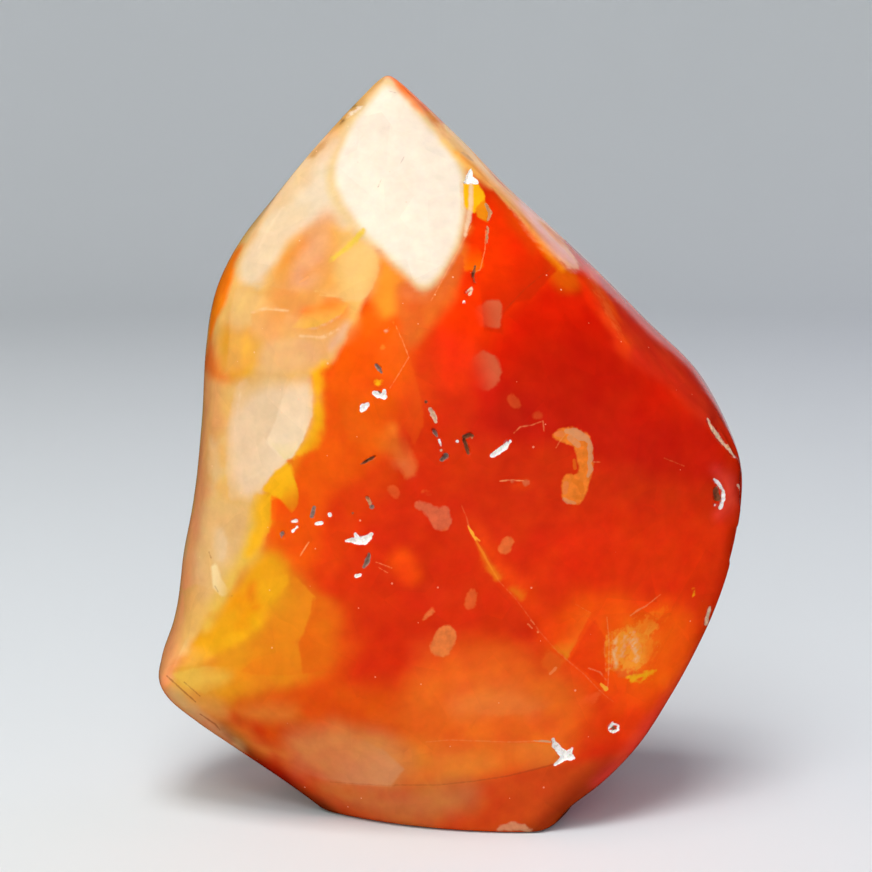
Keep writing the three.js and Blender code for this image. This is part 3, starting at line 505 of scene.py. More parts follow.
    band("light_peach", (((471, 181, 1.6), (471, 205, 2.2), (468, 222, 2.4), (465, 236, 1)), ((461, 182, 1.2),
        (462, 210, 0.8))), soft=0.2, grain=0.12, opacity=0.85),
    band("cream", (((348, 116, 1), (355, 111, 2), (362, 107, 1)),), soft=0.2, grain=0.3, opacity=0.7),
)

MARKS = (
    Mark("blob_pink", (((418, 505, 4.5), (427, 508, 5.5), (434, 514, 7), (440, 523, 8)), ((434, 516, 6),
        (444, 513, 7), (444, 522, 8))), 0.75),
    Mark("blob_orange", (((440, 524, 4), (444, 528, 3)),), 0.5),
    Mark("blob_orange", (((446, 636, 11), (441, 646, 11.5)),), 0.8),
    Mark("clay", (((508, 542, 6), (505, 548, 6.5)),), 0.75),
    Mark("clay", (((473, 594, 5.5), (470, 604, 6)),), 0.5),
    Mark("blob_orange", (((433, 610, 2.6), (424, 619, 2)),), 0.6),
    Mark("clay", (((512, 399, 5), (516, 404, 5)), ((538, 415, 5),)), 0.25),
    Mark("clay", (((392, 490, 5), (396, 494, 4)),), 0.35),
    Mark("clay", (((424, 492, 2.5), (430, 494, 2)),), 0.35),
    Mark("cloud_tan", (((512, 482, 2),), ((526, 483, 3.4),)), 0.45),
    # The hooked mark: a pale scalloped rim on its right, an ochre body and orange hollows.
    Mark("crust", (((557, 436, 4), (564, 435, 7.5), (573, 436, 9), (581, 441, 9.5), (584, 450, 8.5),
        (585, 460, 8), (586, 469, 7), (583, 478, 8), (577, 485, 11.5), (574, 492, 12.5)), ((570, 482, 8.5),
        (570, 494, 8.5))), 0.85),
    # Yellow and pale flecks.
    Mark("gold", (((376, 379, 1.6), (379, 383, 2.6), (382, 380, 1)), ((375, 384, 1), (380, 383, 2.2))), 0.95),
    Mark("gold", (((694, 590, 1.6), (693, 595, 1.4)),), 0.9),
    Mark("crust_pale", (((462, 152, 1), (468, 156, 1.8), (473, 160, 1.2)),), 0.8),
    Mark("crust_pale", (((385, 332, 1.6), (390, 329, 1.2)),), 0.8),
    Mark("crust", (((393, 323, 1.6),), ((383, 347, 3),)), 0.5),
    Mark("crust_pale", (((500, 829, 2.6), (512, 826, 4.4), (524, 828, 3.6), (530, 831, 2)),), 0.6),
    # Small dark flecks beside the cap; they share their colour with the painted shade of the lower edge.
    Mark("rim_dark", (((350, 110, 1.4), (357, 103, 1.2)), ((340, 124, 1), (344, 119, 1.2))), 0.6),
)

CRACKS = (
    # The main crack, lit only in stretches.
    Mark("crack_light", (((461, 504, 0.3), (466, 516, 0.5), (470, 530, 0.6)),), 0.25),
    Mark("crack_gold", (((468, 526, 0.8), (472, 533, 1.6), (476, 541, 0.7)), ((474, 536, 0.8),
        (480, 541, 0.7))), 0.9),
    Mark("crack_amber", (((476, 541, 0.9), (483, 553, 1.3), (490, 566, 0.8), (498, 579, 0.8)),), 0.6),
    Mark("crack_light", (((498, 580, 0.3), (515, 598, 0.3), (527, 614, 0.4), (540, 632, 0.4), (556, 650, 0.4),
        (567, 660, 0.5)),), 0.3),
    Mark("crack_light", (((567, 660, 0.5), (584, 674, 0.4), (599, 690, 0.5), (607, 697, 0.4),
        (614, 702, 0.3)),), 0.4),
    Mark("crack_light", (((528, 624, 0.8), (532, 628, 0.8)), ((531, 620, 0.6), (535, 625, 0.5)),
        ((538, 632, 1),)), 0.7),
    Mark("crack_light", (((591, 613, 0.4), (584, 609, 0.4), (575, 604, 0.3)),), 0.3),
    Mark("crack_gold", (((601, 684, 1.2), (606, 689, 2.2)),), 0.8),
    Mark("crack_light", (((607, 617, 0.4), (609, 640, 0.5), (609, 664, 0.5), (608, 686, 0.4)),), 0.5),
    Mark("crack_light", (((612, 634, 0.4), (613, 650, 0.5), (611, 668, 0.4)), ((604, 640, 0.3),
        (606, 672, 0.3))), 0.35),
    Mark("crack_light", (((588, 668, 0.6), (600, 672, 0.8), (606, 680, 0.5)),), 0.4),
    Mark("crack_light", (((630, 616, 0.5), (638, 610, 0.9), (646, 606, 0.6), (661, 594, 0.3)),), 0.45),
    Mark("crack_light", (((550, 674, 1.2), (556, 668, 1.4)),), 0.4),
    # The two lines across the foot.
    Mark("crack_light", (((426, 742, 0.3), (450, 740, 0.4), (480, 741, 0.5), (510, 742, 0.5),
        (536, 741, 0.6)),), 0.35),
    Mark("crust_pale", (((534, 741, 0.6), (544, 741, 1), (551, 742, 1)),), 0.85),
    Mark("crack_dark", (((395, 785, 0.5), (439, 785, 0.6), (475, 781, 0.6), (508, 776, 0.7), (540, 768, 0.7),
        (562, 762, 0.6)),), 0.35),
    Mark("crack_dark", (((330, 782, 0.5), (395, 786, 0.4)),), 0.2),
    # Hairlines elsewhere.
    Mark("crack_light", (((396, 326, 0.4), (403, 342, 0.5), (409, 357, 0.5), (400, 372, 0.4),
        (390, 388, 0.3)),), 0.5),
    Mark("crack_light", (((471, 226, 0.6), (452, 262, 0.6), (431, 301, 0.5)),), 0.35),
    Mark("crack_light", (((514, 433, 0.5), (520, 427, 0.6), (532, 425, 0.5), (543, 421, 0.5),
        (544, 431, 0.4)),), 0.5),
    Mark("crack_light", (((500, 481, 0.5), (512, 480, 0.6), (524, 481, 0.4)),), 0.9),
    Mark("crack_light", (((556, 448, 0.5), (560, 441, 0.6), (566, 434, 0.4)),), 0.4),
    Mark("crack_light", (((594, 462, 0.6), (600, 462, 0.4)),), 0.5),
    # Scallops and hollows of the hooked mark.
    Mark("crust_pale", (((566, 431, 2), (574, 432, 4.2), (580, 436, 4.6), (586, 438, 3.2), (590, 443, 1.8),
        (590, 448, 3.2), (590, 453, 1.8), (591, 458, 2.8), (589, 463, 1.6), (591, 469, 2.6),
        (588, 476, 1.4)),), 0.55),
    Mark("crust_pale", (((564, 499, 1.8), (568, 502, 2.4), (575, 503, 1.2)), ((570, 438, 3), (578, 445, 3))),
        0.4),
    Mark("crust_deep", (((573, 480, 2), (580, 484, 3.4), (582, 491, 2.6)), ((577, 497, 2), (582, 499, 1.2)),
        ((574, 460, 1.4), (575, 468, 2))), 0.6),
    Mark("crust_orange", (((556, 434, 2), (561, 434, 3.4)), ((566, 484, 3), (565, 492, 2.4))), 0.6),
    Mark("crack_light", (((300, 556, 0.5), (305, 548, 0.9), (309, 542, 0.5)),), 0.7),
    Mark("crack_light", (((376, 562, 0.5), (392, 568, 0.5)), ((378, 567, 0.4), (388, 573, 0.4))), 0.5),
    Mark("crack_light", (((300, 282, 0.8), (308, 277, 1)),), 0.6),
    Mark("crack_light", (((486, 230, 0.6), (485, 250, 0.5), (480, 270, 0.5), (470, 273, 0.4)),), 0.5),
    Mark("crack_light", (((664, 458, 0.4), (684, 466, 0.5)),), 0.25),
    Mark("crack_dark", (((389, 91, 0.4), (396, 93, 0.4)),), 0.35),
    Mark("crack_dark", (((404, 157, 0.4), (400, 164, 0.3)), ((381, 180, 0.3), (378, 187, 0.6))), 0.4),
    Mark("crack_dark", (((354, 143, 0.4),), ((358, 162, 0.4),)), 0.4),
    Mark("crack_dark", (((167, 676, 0.7), (180, 688, 0.8), (196, 702, 0.6)),), 0.6),
    Mark("crack_dark", (((184, 682, 0.6), (200, 696, 0.5)), ((200, 714, 0.5), (215, 724, 0.8),
        (220, 730, 0.4))), 0.6),
    Mark("crack_dark", (((209, 552, 0.6), (211, 558, 0.6)), ((215, 586, 0.6), (218, 592, 0.6)),
        ((232, 596, 0.6),)), 0.4),
    Mark("crack_dark", (((551, 268, 0.5), (526, 288, 0.5), (503, 312, 0.5)),), 0.3),
    # The back.
    Mark("crack_light", (((2, 58, 0.08), (8, 47, 0.12), (10, 38, 0.1), (19, 30, 0.08)),), 0.4, "back"),
    Mark("crack_light", (((-12, 36, 0.08), (-3, 27, 0.1), (4, 18, 0.08)),), 0.35, "back"),
    Mark("crack_gold", (((10, 38, 0.16), (13, 35, 0.26), (16, 32, 0.12)),), 0.8, "back"),
)

POCKETS = (
    # The white flake and its company, left of the middle.
    Pocket("druse_white", 0.6, (((346, 541, 1), (352, 540, 2.6), (358, 541, 4.2), (364, 540, 4.4),
        (369, 537, 3), (372, 534, 1.4)), ((355, 534, 1.4), (357, 538, 3)))),
    Pocket("druse_grey", 0.7, (((369, 554, 1.2), (367, 561, 2.6), (364, 567, 1.6)),)),
    Pocket("druse_white", 0.4, (((356, 576, 2), (360, 575, 1.6)),)),
    Pocket("druse_grey", 0.5, (((314, 508, 1.6), (312, 516, 2)),)),
    Pocket("druse_white", 0.4, (((330, 515, 2),),)),
    Pocket("druse_white", 0.4, (((316, 524, 1.4), (321, 523, 1.8)),)),
    Pocket("druse_white", 0.4, (((292, 521, 1.2), (296, 521, 1.6)),)),
    Pocket("druse_white", 0.4, (((297, 527, 1.4), (293, 531, 1.6)),)),
    Pocket("druse_grey", 0.5, (((282, 534, 2.2), (282, 537, 1.6)),)),
    Pocket("druse_brown", 0.8, (((361, 464, 0.8), (367, 461, 1.6), (374, 457, 1)),)),
    Pocket("druse_tan", 0.7, (((367, 498, 1.6), (370, 503, 2)),)),
    Pocket("druse_grey", 0.6, (((372, 507, 2.4),),)),
    Pocket("druse_brown", 0.5, (((353, 513, 1.6),),)),
    Pocket("druse_white", 0.6, (((374, 393, 2), (379, 395, 3.2), (384, 397, 2.6)), ((384, 391, 1.6),
        (383, 396, 2.4)))),
    Pocket("druse_brown", 0.6, (((379, 392, 1), (381, 394, 1.2)),)),
    Pocket("druse_white", 0.5, (((362, 410, 2.4), (364, 407, 3.6), (367, 405, 2.6)),)),
    Pocket("druse_grey", 0.7, (((376, 365, 1.6), (379, 369, 2.4), (381, 372, 1.4)),)),
    # The chain below the cap's right side.
    Pocket("druse_brown", 0.5, (((426, 402, 1.4),),)),
    Pocket("druse_crust", 0.6, (((430, 409, 1.8), (434, 417, 2.8), (436, 422, 1.6)),)),
    Pocket("druse_brown", 0.4, (((433, 414, 1.2),),)),
    Pocket("druse_grey", 0.8, (((434, 431, 1.8), (437, 436, 1.6)),)),
    Pocket("druse_white", 0.4, (((439, 440, 1), (441, 446, 1.2)),)),
    Pocket("druse_crust", 0.4, (((441, 450, 1.4),),)),
    Pocket("druse_grey", 0.9, (((442, 460, 2), (446, 456, 3)),)),
    Pocket("druse_brown", 0.7, (((464, 437, 2), (470, 435, 2.2), (473, 436, 1.4)), ((464, 440, 1.8),
        (466, 446, 1.8), (468, 453, 1.8)))),
    Pocket("druse_tan", 0.4, (((465, 441, 1), (467, 449, 0.8)), ((472, 438, 1.2),))),
    Pocket("druse_white", 0.3, (((457, 441, 1.4),),)),
    Pocket("druse_white", 0.5, (((492, 456, 1.8), (498, 452, 3), (505, 447, 2.6)), ((503, 449, 2),
        (507, 442, 1)), ((506, 447, 1.6), (510, 441, 0.8)))),
    # Beside the cap.
    Pocket("druse_white", 0.5, (((471, 169, 0.8), (470, 174, 2.6), (469, 179, 4)), ((465, 182, 1.6),
        (471, 180, 4), (477, 182, 1.8)))),
    Pocket("druse_tan", 0.5, (((486, 204, 0.8), (490, 213, 2), (488, 220, 1.2)), ((488, 228, 1.5),
        (487, 236, 0.8), (487, 243, 0.6)))),
    Pocket("druse_brown", 0.8, (((475, 266, 0.8), (473, 275, 1.6), (475, 283, 1)),)),
    Pocket("druse_crust", 0.5, (((472, 290, 1.4), (469, 295, 1.2)), ((472, 288, 1), (466, 292, 1.2)))),
    Pocket("druse_white", 0.4, (((464, 302, 1.8),),)),
    # The chip low on the right, and the right edge.
    Pocket("druse_white", 0.6, (((553, 740, 1.6), (555, 745, 3), (560, 751, 3.4), (566, 755, 4.6),
        (571, 757, 3.2), (574, 758, 1.4)), ((572, 749, 1.4), (569, 753, 3)), ((565, 757, 3.4),
        (559, 762, 1.8), (554, 765, 0.8)))),
    Pocket("druse_white", 0.4, (((609, 728, 1.4), (613, 724, 1.6), (618, 725, 1.4), (618, 730, 1.2),
        (613, 732, 1.4), (609, 730, 1)),)),
    Pocket("druse_brown", 0.5, (((613.5, 728, 1.8),),)),
    Pocket("druse_crust", 0.5, (((708, 419, 1), (712, 428, 1.6), (718, 437, 2), (728, 448, 2),
        (735, 456, 1.6)),)),
    Pocket("druse_gold", 0.7, (((722, 428, 2.4), (726, 436, 4), (731, 445, 3.6)),)),
    Pocket("druse_white", 0.5, (((719, 422, 1.6), (727, 427, 1.8), (733, 436, 2), (736, 448, 1.8)),)),
    Pocket("druse_white", 0.6, (((714, 479, 1.2), (719, 484, 2), (723, 491, 1.8), (724, 499, 1.8),
        (720, 508, 1.8)), ((715, 505, 1.2),))),
    Pocket("druse_brown", 0.9, (((716, 490, 3), (717, 498, 3)),)),
    Pocket("druse_crust", 0.4, (((738, 485, 1), (741, 490, 1.3)),)),
    Pocket("druse_crust", 0.4, (((710, 607, 1.2), (708, 615, 2), (706, 624, 1.5)),)),
    # The back.
    Pocket("druse_white", 0.8, (((-10, 63, 0.6), (-8.6, 63.4, 0.8), (-7.6, 62.8, 0.4)),), "back"),
    Pocket("druse_grey", 0.8, (((14.4, 47.6, 0.4), (15.2, 46.6, 0.5)),), "back"),
    Pocket("druse_brown", 0.7, (((-20.5, 31.4, 0.4), (-19.4, 30.8, 0.3)),), "back"),
    Pocket("druse_white", 0.6, (((5.2, 24, 0.5), (6.2, 24.4, 0.4)),), "back"),
)

# Wide shallow chips in the right edge, ground smooth: depth in millimetres and stroke.
EDGE_CHIPS = (
    (0.45, ((737, 533, 3), (735, 543, 5), (731, 556, 3))),
    (0.3, ((744, 478, 3), (743, 490, 4), (741, 500, 3))),
    (0.35, ((716, 422, 2), (727, 436, 4), (737, 452, 3))),
)


def linear(code):
    """An sRGB hex colour as linear red, green and blue."""
    values = [int(code[i : i + 2], 16) / 255 for i in (1, 3, 5)]
    return tuple(v / 12.92 if v <= 0.04045 else ((v + 0.055) / 1.055) ** 2.4 for v in values)


# Shape of the stone


def smooth_table(stations, heights):
    """The values of a table at some heights, along cubic curves that pass through its rows."""
    rows = np.array(stations, float)
    z, values = rows[:, 0], rows[:, 1:]
    gap = np.diff(z)
    slope = np.diff(values, axis=0) / gap[:, None]
    lean = np.empty_like(values)
    lean[0], lean[-1] = slope[0], slope[-1]
    lean[1:-1] = slope[:-1] * gap[1:, None] + slope[1:] * gap[:-1, None]
    lean[1:-1] /= (gap[1:] + gap[:-1])[:, None]
    k = np.clip(np.searchsorted(z, heights, side="right") - 1, 0, len(gap) - 1)
    t = ((heights - z[k]) / gap[k])[:, None]
    span = gap[k][:, None]
    start = values[k] * (1 + 2 * t) * (1 - t) ** 2 + lean[k] * span * t * (1 - t) ** 2
    end = values[k + 1] * t * t * (3 - 2 * t) + lean[k + 1] * span * t * t * (t - 1)
    return start + end


def sharp_section(places, corners, bulges):
    """Points on the four faces before polishing, each face bulged out from the line between its ridges."""
    places = places % 1.0
    face = np.clip(np.searchsorted(FACE_START, places, side="right") - 1, 0, 3)
    t = (places - FACE_START[face]) / (FACE_START[face + 1] - FACE_START[face])
    row = np.arange(len(places))
    start = corners[face, row]
    along = corners[(face + 1) % 4, row] - start
    outward = np.stack([along[:, 1], -along[:, 0]], -1)
    outward /= np.linalg.norm(outward, axis=1)[:, None] + 1e-9
    bulge = bulges[row, face] * 4 * t * (1 - t)
    return start + along * t[:, None] + outward * bulge[:, None]


def tip_width(depth):
    """Width of the rounded tip at a depth below its top."""
    return np.sqrt(depth * depth + 2 * TIP_ROUND * depth)


def skin(places, heights):
    """Points of the polished skin in millimetres. Heights below 0 stand for the rings of the flat base."""
    z = np.maximum(heights, 0.0)
    low = np.minimum(z, SHOULDER)
    corners = np.stack([smooth_table(ridge, low) for ridge in RIDGES])
    bulges = smooth_table(BULGE, low)
    reach = np.interp(places % 1.0, FACE_START, RIDGE_ROUNDING)
    steps = np.linspace(-1, 1, ROUNDING_STEPS)
    weights = 1 + np.cos(steps * np.pi * ROUNDING_STEPS / (ROUNDING_STEPS + 1))
    weights /= weights.sum()
    flat = sum(w * sharp_section(places + s * reach, corners, bulges) for s, w in zip(steps, weights))
    width = np.where(z > SHOULDER, tip_width(np.maximum(HEIGHT - z, 0)) / tip_width(HEIGHT - SHOULDER), 1.0)
    flat = TIP + (flat - TIP) * width[:, None]
    under = np.clip(1 - z / FOOT_ROUND, 0, 1)
    inset = FOOT_ROUND * (1 - np.sqrt(1 - under**2))
    arm = flat - BASE
    length = np.maximum(np.linalg.norm(arm, axis=1), FOOT_ROUND)
    flat = BASE + arm * (1 - inset / length)[:, None]
    ring = np.clip(1 + heights / BASE_RINGS, 0, 1)
    flat = np.where(heights[:, None] < 0, BASE + (flat - BASE) * ring[:, None], flat)
    return np.concatenate([flat, z[:, None]], axis=1)


def outward_directions(places, heights):
    """Unit directions square to the skin, from two short steps along it."""
    round_step, up_step = 0.0015, 0.15
    below = np.clip(heights - up_step, 0, HEIGHT - 0.02)
    above = np.clip(heights + up_step, 0.02, HEIGHT - 0.01)
    middle = below * 0.5 + above * 0.5
    along = skin(places + round_step, middle) - skin(places - round_step, middle)
    up = skin(places, above) - skin(places, below)
    square = np.cross(along, up)
    square /= np.linalg.norm(square, axis=1)[:, None] + 1e-12
    square[heights <= 0] = (0, 0, -1)
    return square


# Where the marks of the photograph lie on the skin


def picture_places(points):
    """Where points of the stone stand in the photograph, in its own points."""
    ahead = np.array((0, math.cos(CAMERA_TILT), -math.sin(CAMERA_TILT)))
    upward = np.array((0, math.sin(CAMERA_TILT), math.cos(CAMERA_TILT)))
    arm = points - (CAMERA_AIM - CAMERA_DISTANCE * ahead)
    scale = LENS / SENSOR * PICTURE_SIDE / (arm @ ahead)
    return np.stack([PICTURE_SIDE / 2 + arm[:, 0] * scale, PICTURE_SIDE / 2 - (arm @ upward) * scale], -1)


def depth_behind(points):
    """How far points lie behind the line between the left and right ridges, in millimetres."""
    low = np.clip(points[:, 2], 0, SHOULDER)
    left, right = smooth_table(LEFT_RIDGE, low), smooth_table(RIGHT_RIDGE, low)
    share = np.clip((points[:, 0] - left[:, 0]) / (right[:, 0] - left[:, 0]), 0, 1)
    return points[:, 1] - (left[:, 1] + (right[:, 1] - left[:, 1]) * share)


class Skin:
    """Points of the skin with their places on the front's picture and on the back."""

    def __init__(self, points, outward):
        self.points = points
        self.turn = outward[:, 1]
        self.behind = depth_behind(points)
        started = np.clip((self.behind - BORDER_START) / BORDER_START, 0, 1)
        self.border = self.behind + BORDER_SWAY * billow(points, size=8.0, seed=43) * started
        # Well behind the ridges the bands sway and dip, as real ones do, instead of running straight back.
        aside, upward = billow(points, size=12.0, seed=41), billow(points, size=12.0, seed=42) - SWAY_DIP
        sway = np.stack([aside, np.zeros(len(points)), upward], 1)
        far = np.clip(self.behind - SWAY_START, 0, SWAY_MOST)
        swayed = points + sway * far[:, None]
        self.sides = {"front": picture_places(swayed) / POINTS_PER_MM, "back": points[:, (0, 2)]}

    def scale(self, side):
        """How many of a side's own points make a millimetre."""
        return POINTS_PER_MM if side == "front" else 1.0

    def limit(self, side, reach):
        """How far inside the depth that a side's marks may have, in millimetres."""
        ahead = np.minimum(reach - self.border, TURN_REACH * (BACK_TURN - self.turn))
        return ahead if side == "front" else -ahead


def rounded_corners(outline):
    """An outline with its corners cut twice, so that it runs in soft curves."""
    for _ in range(2):
        following = np.roll(outline, -1, axis=0)
        cuts = [outline * 0.75 + following * 0.25, outline * 0.25 + following * 0.75]
        outline = np.stack(cuts, 1).reshape(-1, 2)
    return outline


def outline_distance(flat, outline):
    """Distance to an outline, positive inside it."""
    nearest = np.full(len(flat), np.inf)
    inside = np.zeros(len(flat), bool)
    for start, end in zip(outline, np.roll(outline, -1, axis=0)):
        along, arm = end - start, flat - start
        t = np.clip(arm @ along / (along @ along), 0, 1)
        nearest = np.minimum(nearest, np.linalg.norm(arm - t[:, None] * along, axis=1))
        crosses = (start[1] > flat[:, 1]) != (end[1] > flat[:, 1])
        with np.errstate(divide="ignore", invalid="ignore"):
            inside ^= crosses & (flat[:, 0] < start[0] + (flat[:, 1] - start[1]) * along[0] / along[1])
    return np.where(inside, nearest, -nearest)


def strokes_distance(flat, strokes, scale):
    """Distance to the edge of a set of strokes, positive inside them."""
    best = np.full(len(flat), -np.inf)
    for chain in strokes:
        rows = np.array(chain, float) / scale
        if len(rows) == 1:
            rows = np.repeat(rows, 2, axis=0)
        for start, end in zip(rows[:-1], rows[1:]):
            along, arm = end[:2] - start[:2], flat - start[:2]
            t = np.clip(arm @ along / max(along @ along, 1e-9), 0, 1)
            away = np.linalg.norm(arm - t[:, None] * along, axis=1)
            best = np.maximum(best, start[2] + (end[2] - start[2]) * t - away)
    return best


def inside_shape(shape, surface, margin):
    """How far inside a shape the points are, in millimetres; far ones count as the margin outside."""
    flat, scale = surface.sides[shape.side], surface.scale(shape.side)
    outline = getattr(shape, "outline", ())
    if outline:
        border = np.array(outline, float) / scale
        low, high = border.min(axis=0), border.max(axis=0)
    else:
        rows = np.array([row for chain in shape.strokes for row in chain], float) / scale
        low, high = (rows[:, :2] - rows[:, 2:]).min(axis=0), (rows[:, :2] + rows[:, 2:]).max(axis=0)
    near = np.flatnonzero(((flat > low - margin) & (flat < high + margin)).all(axis=1))
    inside = np.full(len(flat), -margin)
    if outline:
        inside[near] = outline_distance(flat[near], border if shape.facet else rounded_corners(border))
    else:
        inside[near] = strokes_distance(flat[near], shape.strokes, scale)
    inside = np.minimum(inside, surface.limit(shape.side, getattr(shape, "reach", FRONT_LIMIT)))
    return np.maximum(inside, -margin)


def fading(zone, surface):
    """How strong a zone is at each point: 1 all over, or less and less along its line of fading."""
    if not zone.fade:
        return np.ones(len(surface.points))
    start, end = np.array(zone.fade, float) / surface.scale(zone.side)
    along = end - start
    return 1 - step_between((surface.sides[zone.side] - start) @ along / (along @ along), 0, 1)


def nearest_marks(marks, surface):
    """The distance inside the nearest of some marks, and which one that is."""
    fields = np.stack([inside_shape(mark, surface, MARK_MARGIN) for mark in marks])
    nearest = fields.argmax(axis=0)
    return fields[nearest, np.arange(fields.shape[1])], nearest


def step_between(value, low, high):
    """0 below low, 1 above high, and a smooth rise between them."""
    t = np.clip((value - low) / (high - low), 0, 1)
    return t * t * (3 - 2 * t)


def billow(points, size, seed, octaves=3):
    """Smooth random clouds from about -1 to 1, with lumps of the given size and finer ones on them."""
    table = np.random.default_rng(seed).uniform(-1, 1, (CLOUD_SIDE, CLOUD_SIDE, CLOUD_SIDE))
    total, weight = np.zeros(len(points)), 1.0
    for octave in range(octaves):
        place = points * 2**octave / size
        cell = np.floor(place).astype(int)
        t = step_between(place - cell, 0, 1)
        for corner in product((0, 1), repeat=3):
            share = np.where(corner, t, 1 - t).prod(axis=1)
            total += weight * share * table[tuple(((cell + corner) % CLOUD_SIDE).T)]
        weight *= 0.5
    return total * CLOUD_SWING


# The mesh


def column_places():
    """Places round the stone from seam to seam, closest on the front."""
    ends, counts = zip(*STRETCHES)
    starts = (SEAM,) + ends[:-1]
    runs = [np.linspace(a, b, n, endpoint=False) for a, b, n in zip(starts, ends, counts)]
    return np.append(np.concatenate(runs), ends[-1])


def row_heights():
    """Heights of the rows from the middle of the base to the tip."""
    first, last = FOOT_ROWS[-1], HEIGHT - TIP_ROWS[-1]
    even = np.linspace(first, last, int((last - first) / ROW_STEP))
    rings = np.arange(-BASE_RINGS, 0)
    return np.concatenate([rings, FOOT_ROWS[:-1], even, HEIGHT - np.array(TIP_ROWS[-2::-1])])


def unrolled_grid():
    """The skin laid out flat: its points are (place round the stone, height, 0)."""
    places, heights = column_places(), row_heights()
    across, rows = len(places), len(heights)
    flat = np.zeros((rows * across, 3))
    flat[:, 0] = np.tile(places, rows)
    flat[:, 1] = np.repeat(heights, across)
    corner = (np.arange(rows - 1)[:, None] * across + np.arange(across - 1)).ravel()
    faces = np.stack([corner, corner + 1, corner + across + 1, corner + across], 1)
    mesh = bpy.data.meshes.new("flame_unrolled")
    mesh.from_pydata(flat.tolist(), [], faces.tolist())
    grid = bmesh.new()
    grid.from_mesh(mesh)
    bpy.data.meshes.remove(mesh)
    return grid


def unrolled_places(grid):
    """Places round the stone and heights of an unrolled grid's points."""
    flat = np.array([vertex.co[:2] for vertex in grid.verts])
    return flat[:, 0], flat[:, 1]


def refine_at_marks(grid):
    """Cuts the grid finer where cracks and pockets lie."""
    for _ in range(REFINEMENTS):
        places, heights = unrolled_places(grid)
        surface = Skin(skin(places, heights), outward_directions(places, heights))
        inside = np.maximum(nearest_marks(CRACKS, surface)[0], nearest_marks(POCKETS, surface)[0])
        grid.verts.index_update()
        ends = np.array([(edge.verts[0].index, edge.verts[1].index) for edge in grid.edges])
        length = np.linalg.norm(surface.points[ends[:, 0]] - surface.points[ends[:, 1]], axis=1)
        close = inside[ends].max(axis=1) > -FINE_REACH - length * 0.5
        chosen = close & (length > FINE_EDGE) & (heights[ends].min(axis=1) >= 0)
        grid.edges.ensure_lookup_table()
        cut = [grid.edges[k] for k in np.flatnonzero(chosen)]
        bmesh.ops.subdivide_edges(grid, edges=cut, cuts=1, use_grid_fill=True)


def hollow_depths(surface, finish):
    """How far pockets, ground chips and the waves of the hand take the skin inwards, in millimetres."""
    points = surface.points
    inside, nearest = nearest_marks(POCKETS, surface)
    # Ragged walls that fall off over 0.4 mm, and a floor that varies by a quarter.
    ragged = inside + 0.1 * billow(points, size=0.9, seed=3)
    depths = np.array([pocket.depth for pocket in POCKETS])[nearest]
    floor = 0.75 + 0.25 * billow(points, size=0.6, seed=5)
    inward = finish.pocket_depth * depths * floor * step_between(ragged, -0.08, 0.3)
    # Ground chips slope down over 1.6 mm.
    for depth, chain in EDGE_CHIPS:
        away = strokes_distance(surface.sides["front"], (chain,), POINTS_PER_MM)
        away = np.minimum(away, CHIP_LIMIT - surface.behind)
        inward += depth * step_between(away, -1.0, 0.6)
    # The waves of the hand die out in the lowest 2 mm and the highest 3 mm.
    wave = 0.5 + 0.5 * billow(points, size=HAND_WAVE, seed=11, octaves=1)
    level = np.clip(points[:, 2] / 2, 0, 1) * np.clip((HEIGHT - points[:, 2]) / 3, 0, 1)
    return inward + UNDER_SOLID + finish.hand_waves * np.clip(wave, 0, 1) * level


# Colours on the skin


def cloud_colours(surface, colours, finish):
    """The soft colours of the stone at each point: the mottled red body with the clouds painted over it."""
    points = surface.points
    drift, ragged = billow(points, size=7.0, seed=21), billow(points, size=2.4, seed=22)
    deep = step_between(billow(points, size=22.0, seed=23), -0.5, 0.5)[:, None]
    warm = 0.5 * step_between(drift, 0.1, 0.9)[:, None]
    painted = np.array(colours.body) * (1 - deep) + np.array(colours.body_deep) * deep
    painted += (np.array(colours.glow_red) - painted) * warm
    for zone in CLOUDS:
        unrest = drift if zone.soft > BROAD_EDGE else ragged
        edge = inside_shape(zone, surface, ZONE_MARGIN) + zone.grain * unrest
        cover = step_between(edge, -zone.soft, zone.soft) * zone.opacity * fading(zone, surface)
        painted += (np.array(getattr(colours, zone.colour)) - painted) * cover[:, None]
    # The hue wanders between yellow and red over a few millimetres, but hardly in the milky parts.
    clear = (1 - painted[:, 1]) ** 3
    painted *= 1 + finish.mottling * 0.3 * (clear * ragged)[:, None]
    painted[:, 1] *= 1 + finish.mottling * clear * (billow(points, size=4.5, seed=24) + ragged)
    return np.clip(painted, 0, 1)


def veil_sheets(surface, colours):
    """The veils shared out to sheets, on each of which they lie clear of one another.

    A veil covers those on the sheets before its own. A sheet is the distance inside its nearest veil, a
    vector for the material (that distance in widths of the edge, its raggedness, its opacity) and a colour.
    """
    sheets = []
    for veil in VEILS:
        inside = inside_shape(veil, surface, ZONE_MARGIN)
        number = len(sheets)
        while number and (np.minimum(sheets[number - 1][0], inside) < -VEIL_GAP).all():
            number -= 1
        if number == len(sheets):
            empty = np.tile((-ZONE_MARGIN / veil.soft, 0.0, 0.0), (len(inside), 1))
            sheets.append((np.full(len(inside), -ZONE_MARGIN), empty, np.zeros((len(inside), 4))))
        distance, edge, colour = sheets[number]
        own = inside > distance
        opacity = veil.opacity * fading(veil, surface)
        raggedness = np.full(len(inside), veil.grain / veil.soft)
        edge[own] = np.stack([inside / veil.soft, raggedness, opacity], 1)[own]
        colour[own] = (*getattr(colours, veil.colour), 1.0)
        distance[own] = inside[own]
    return sheets


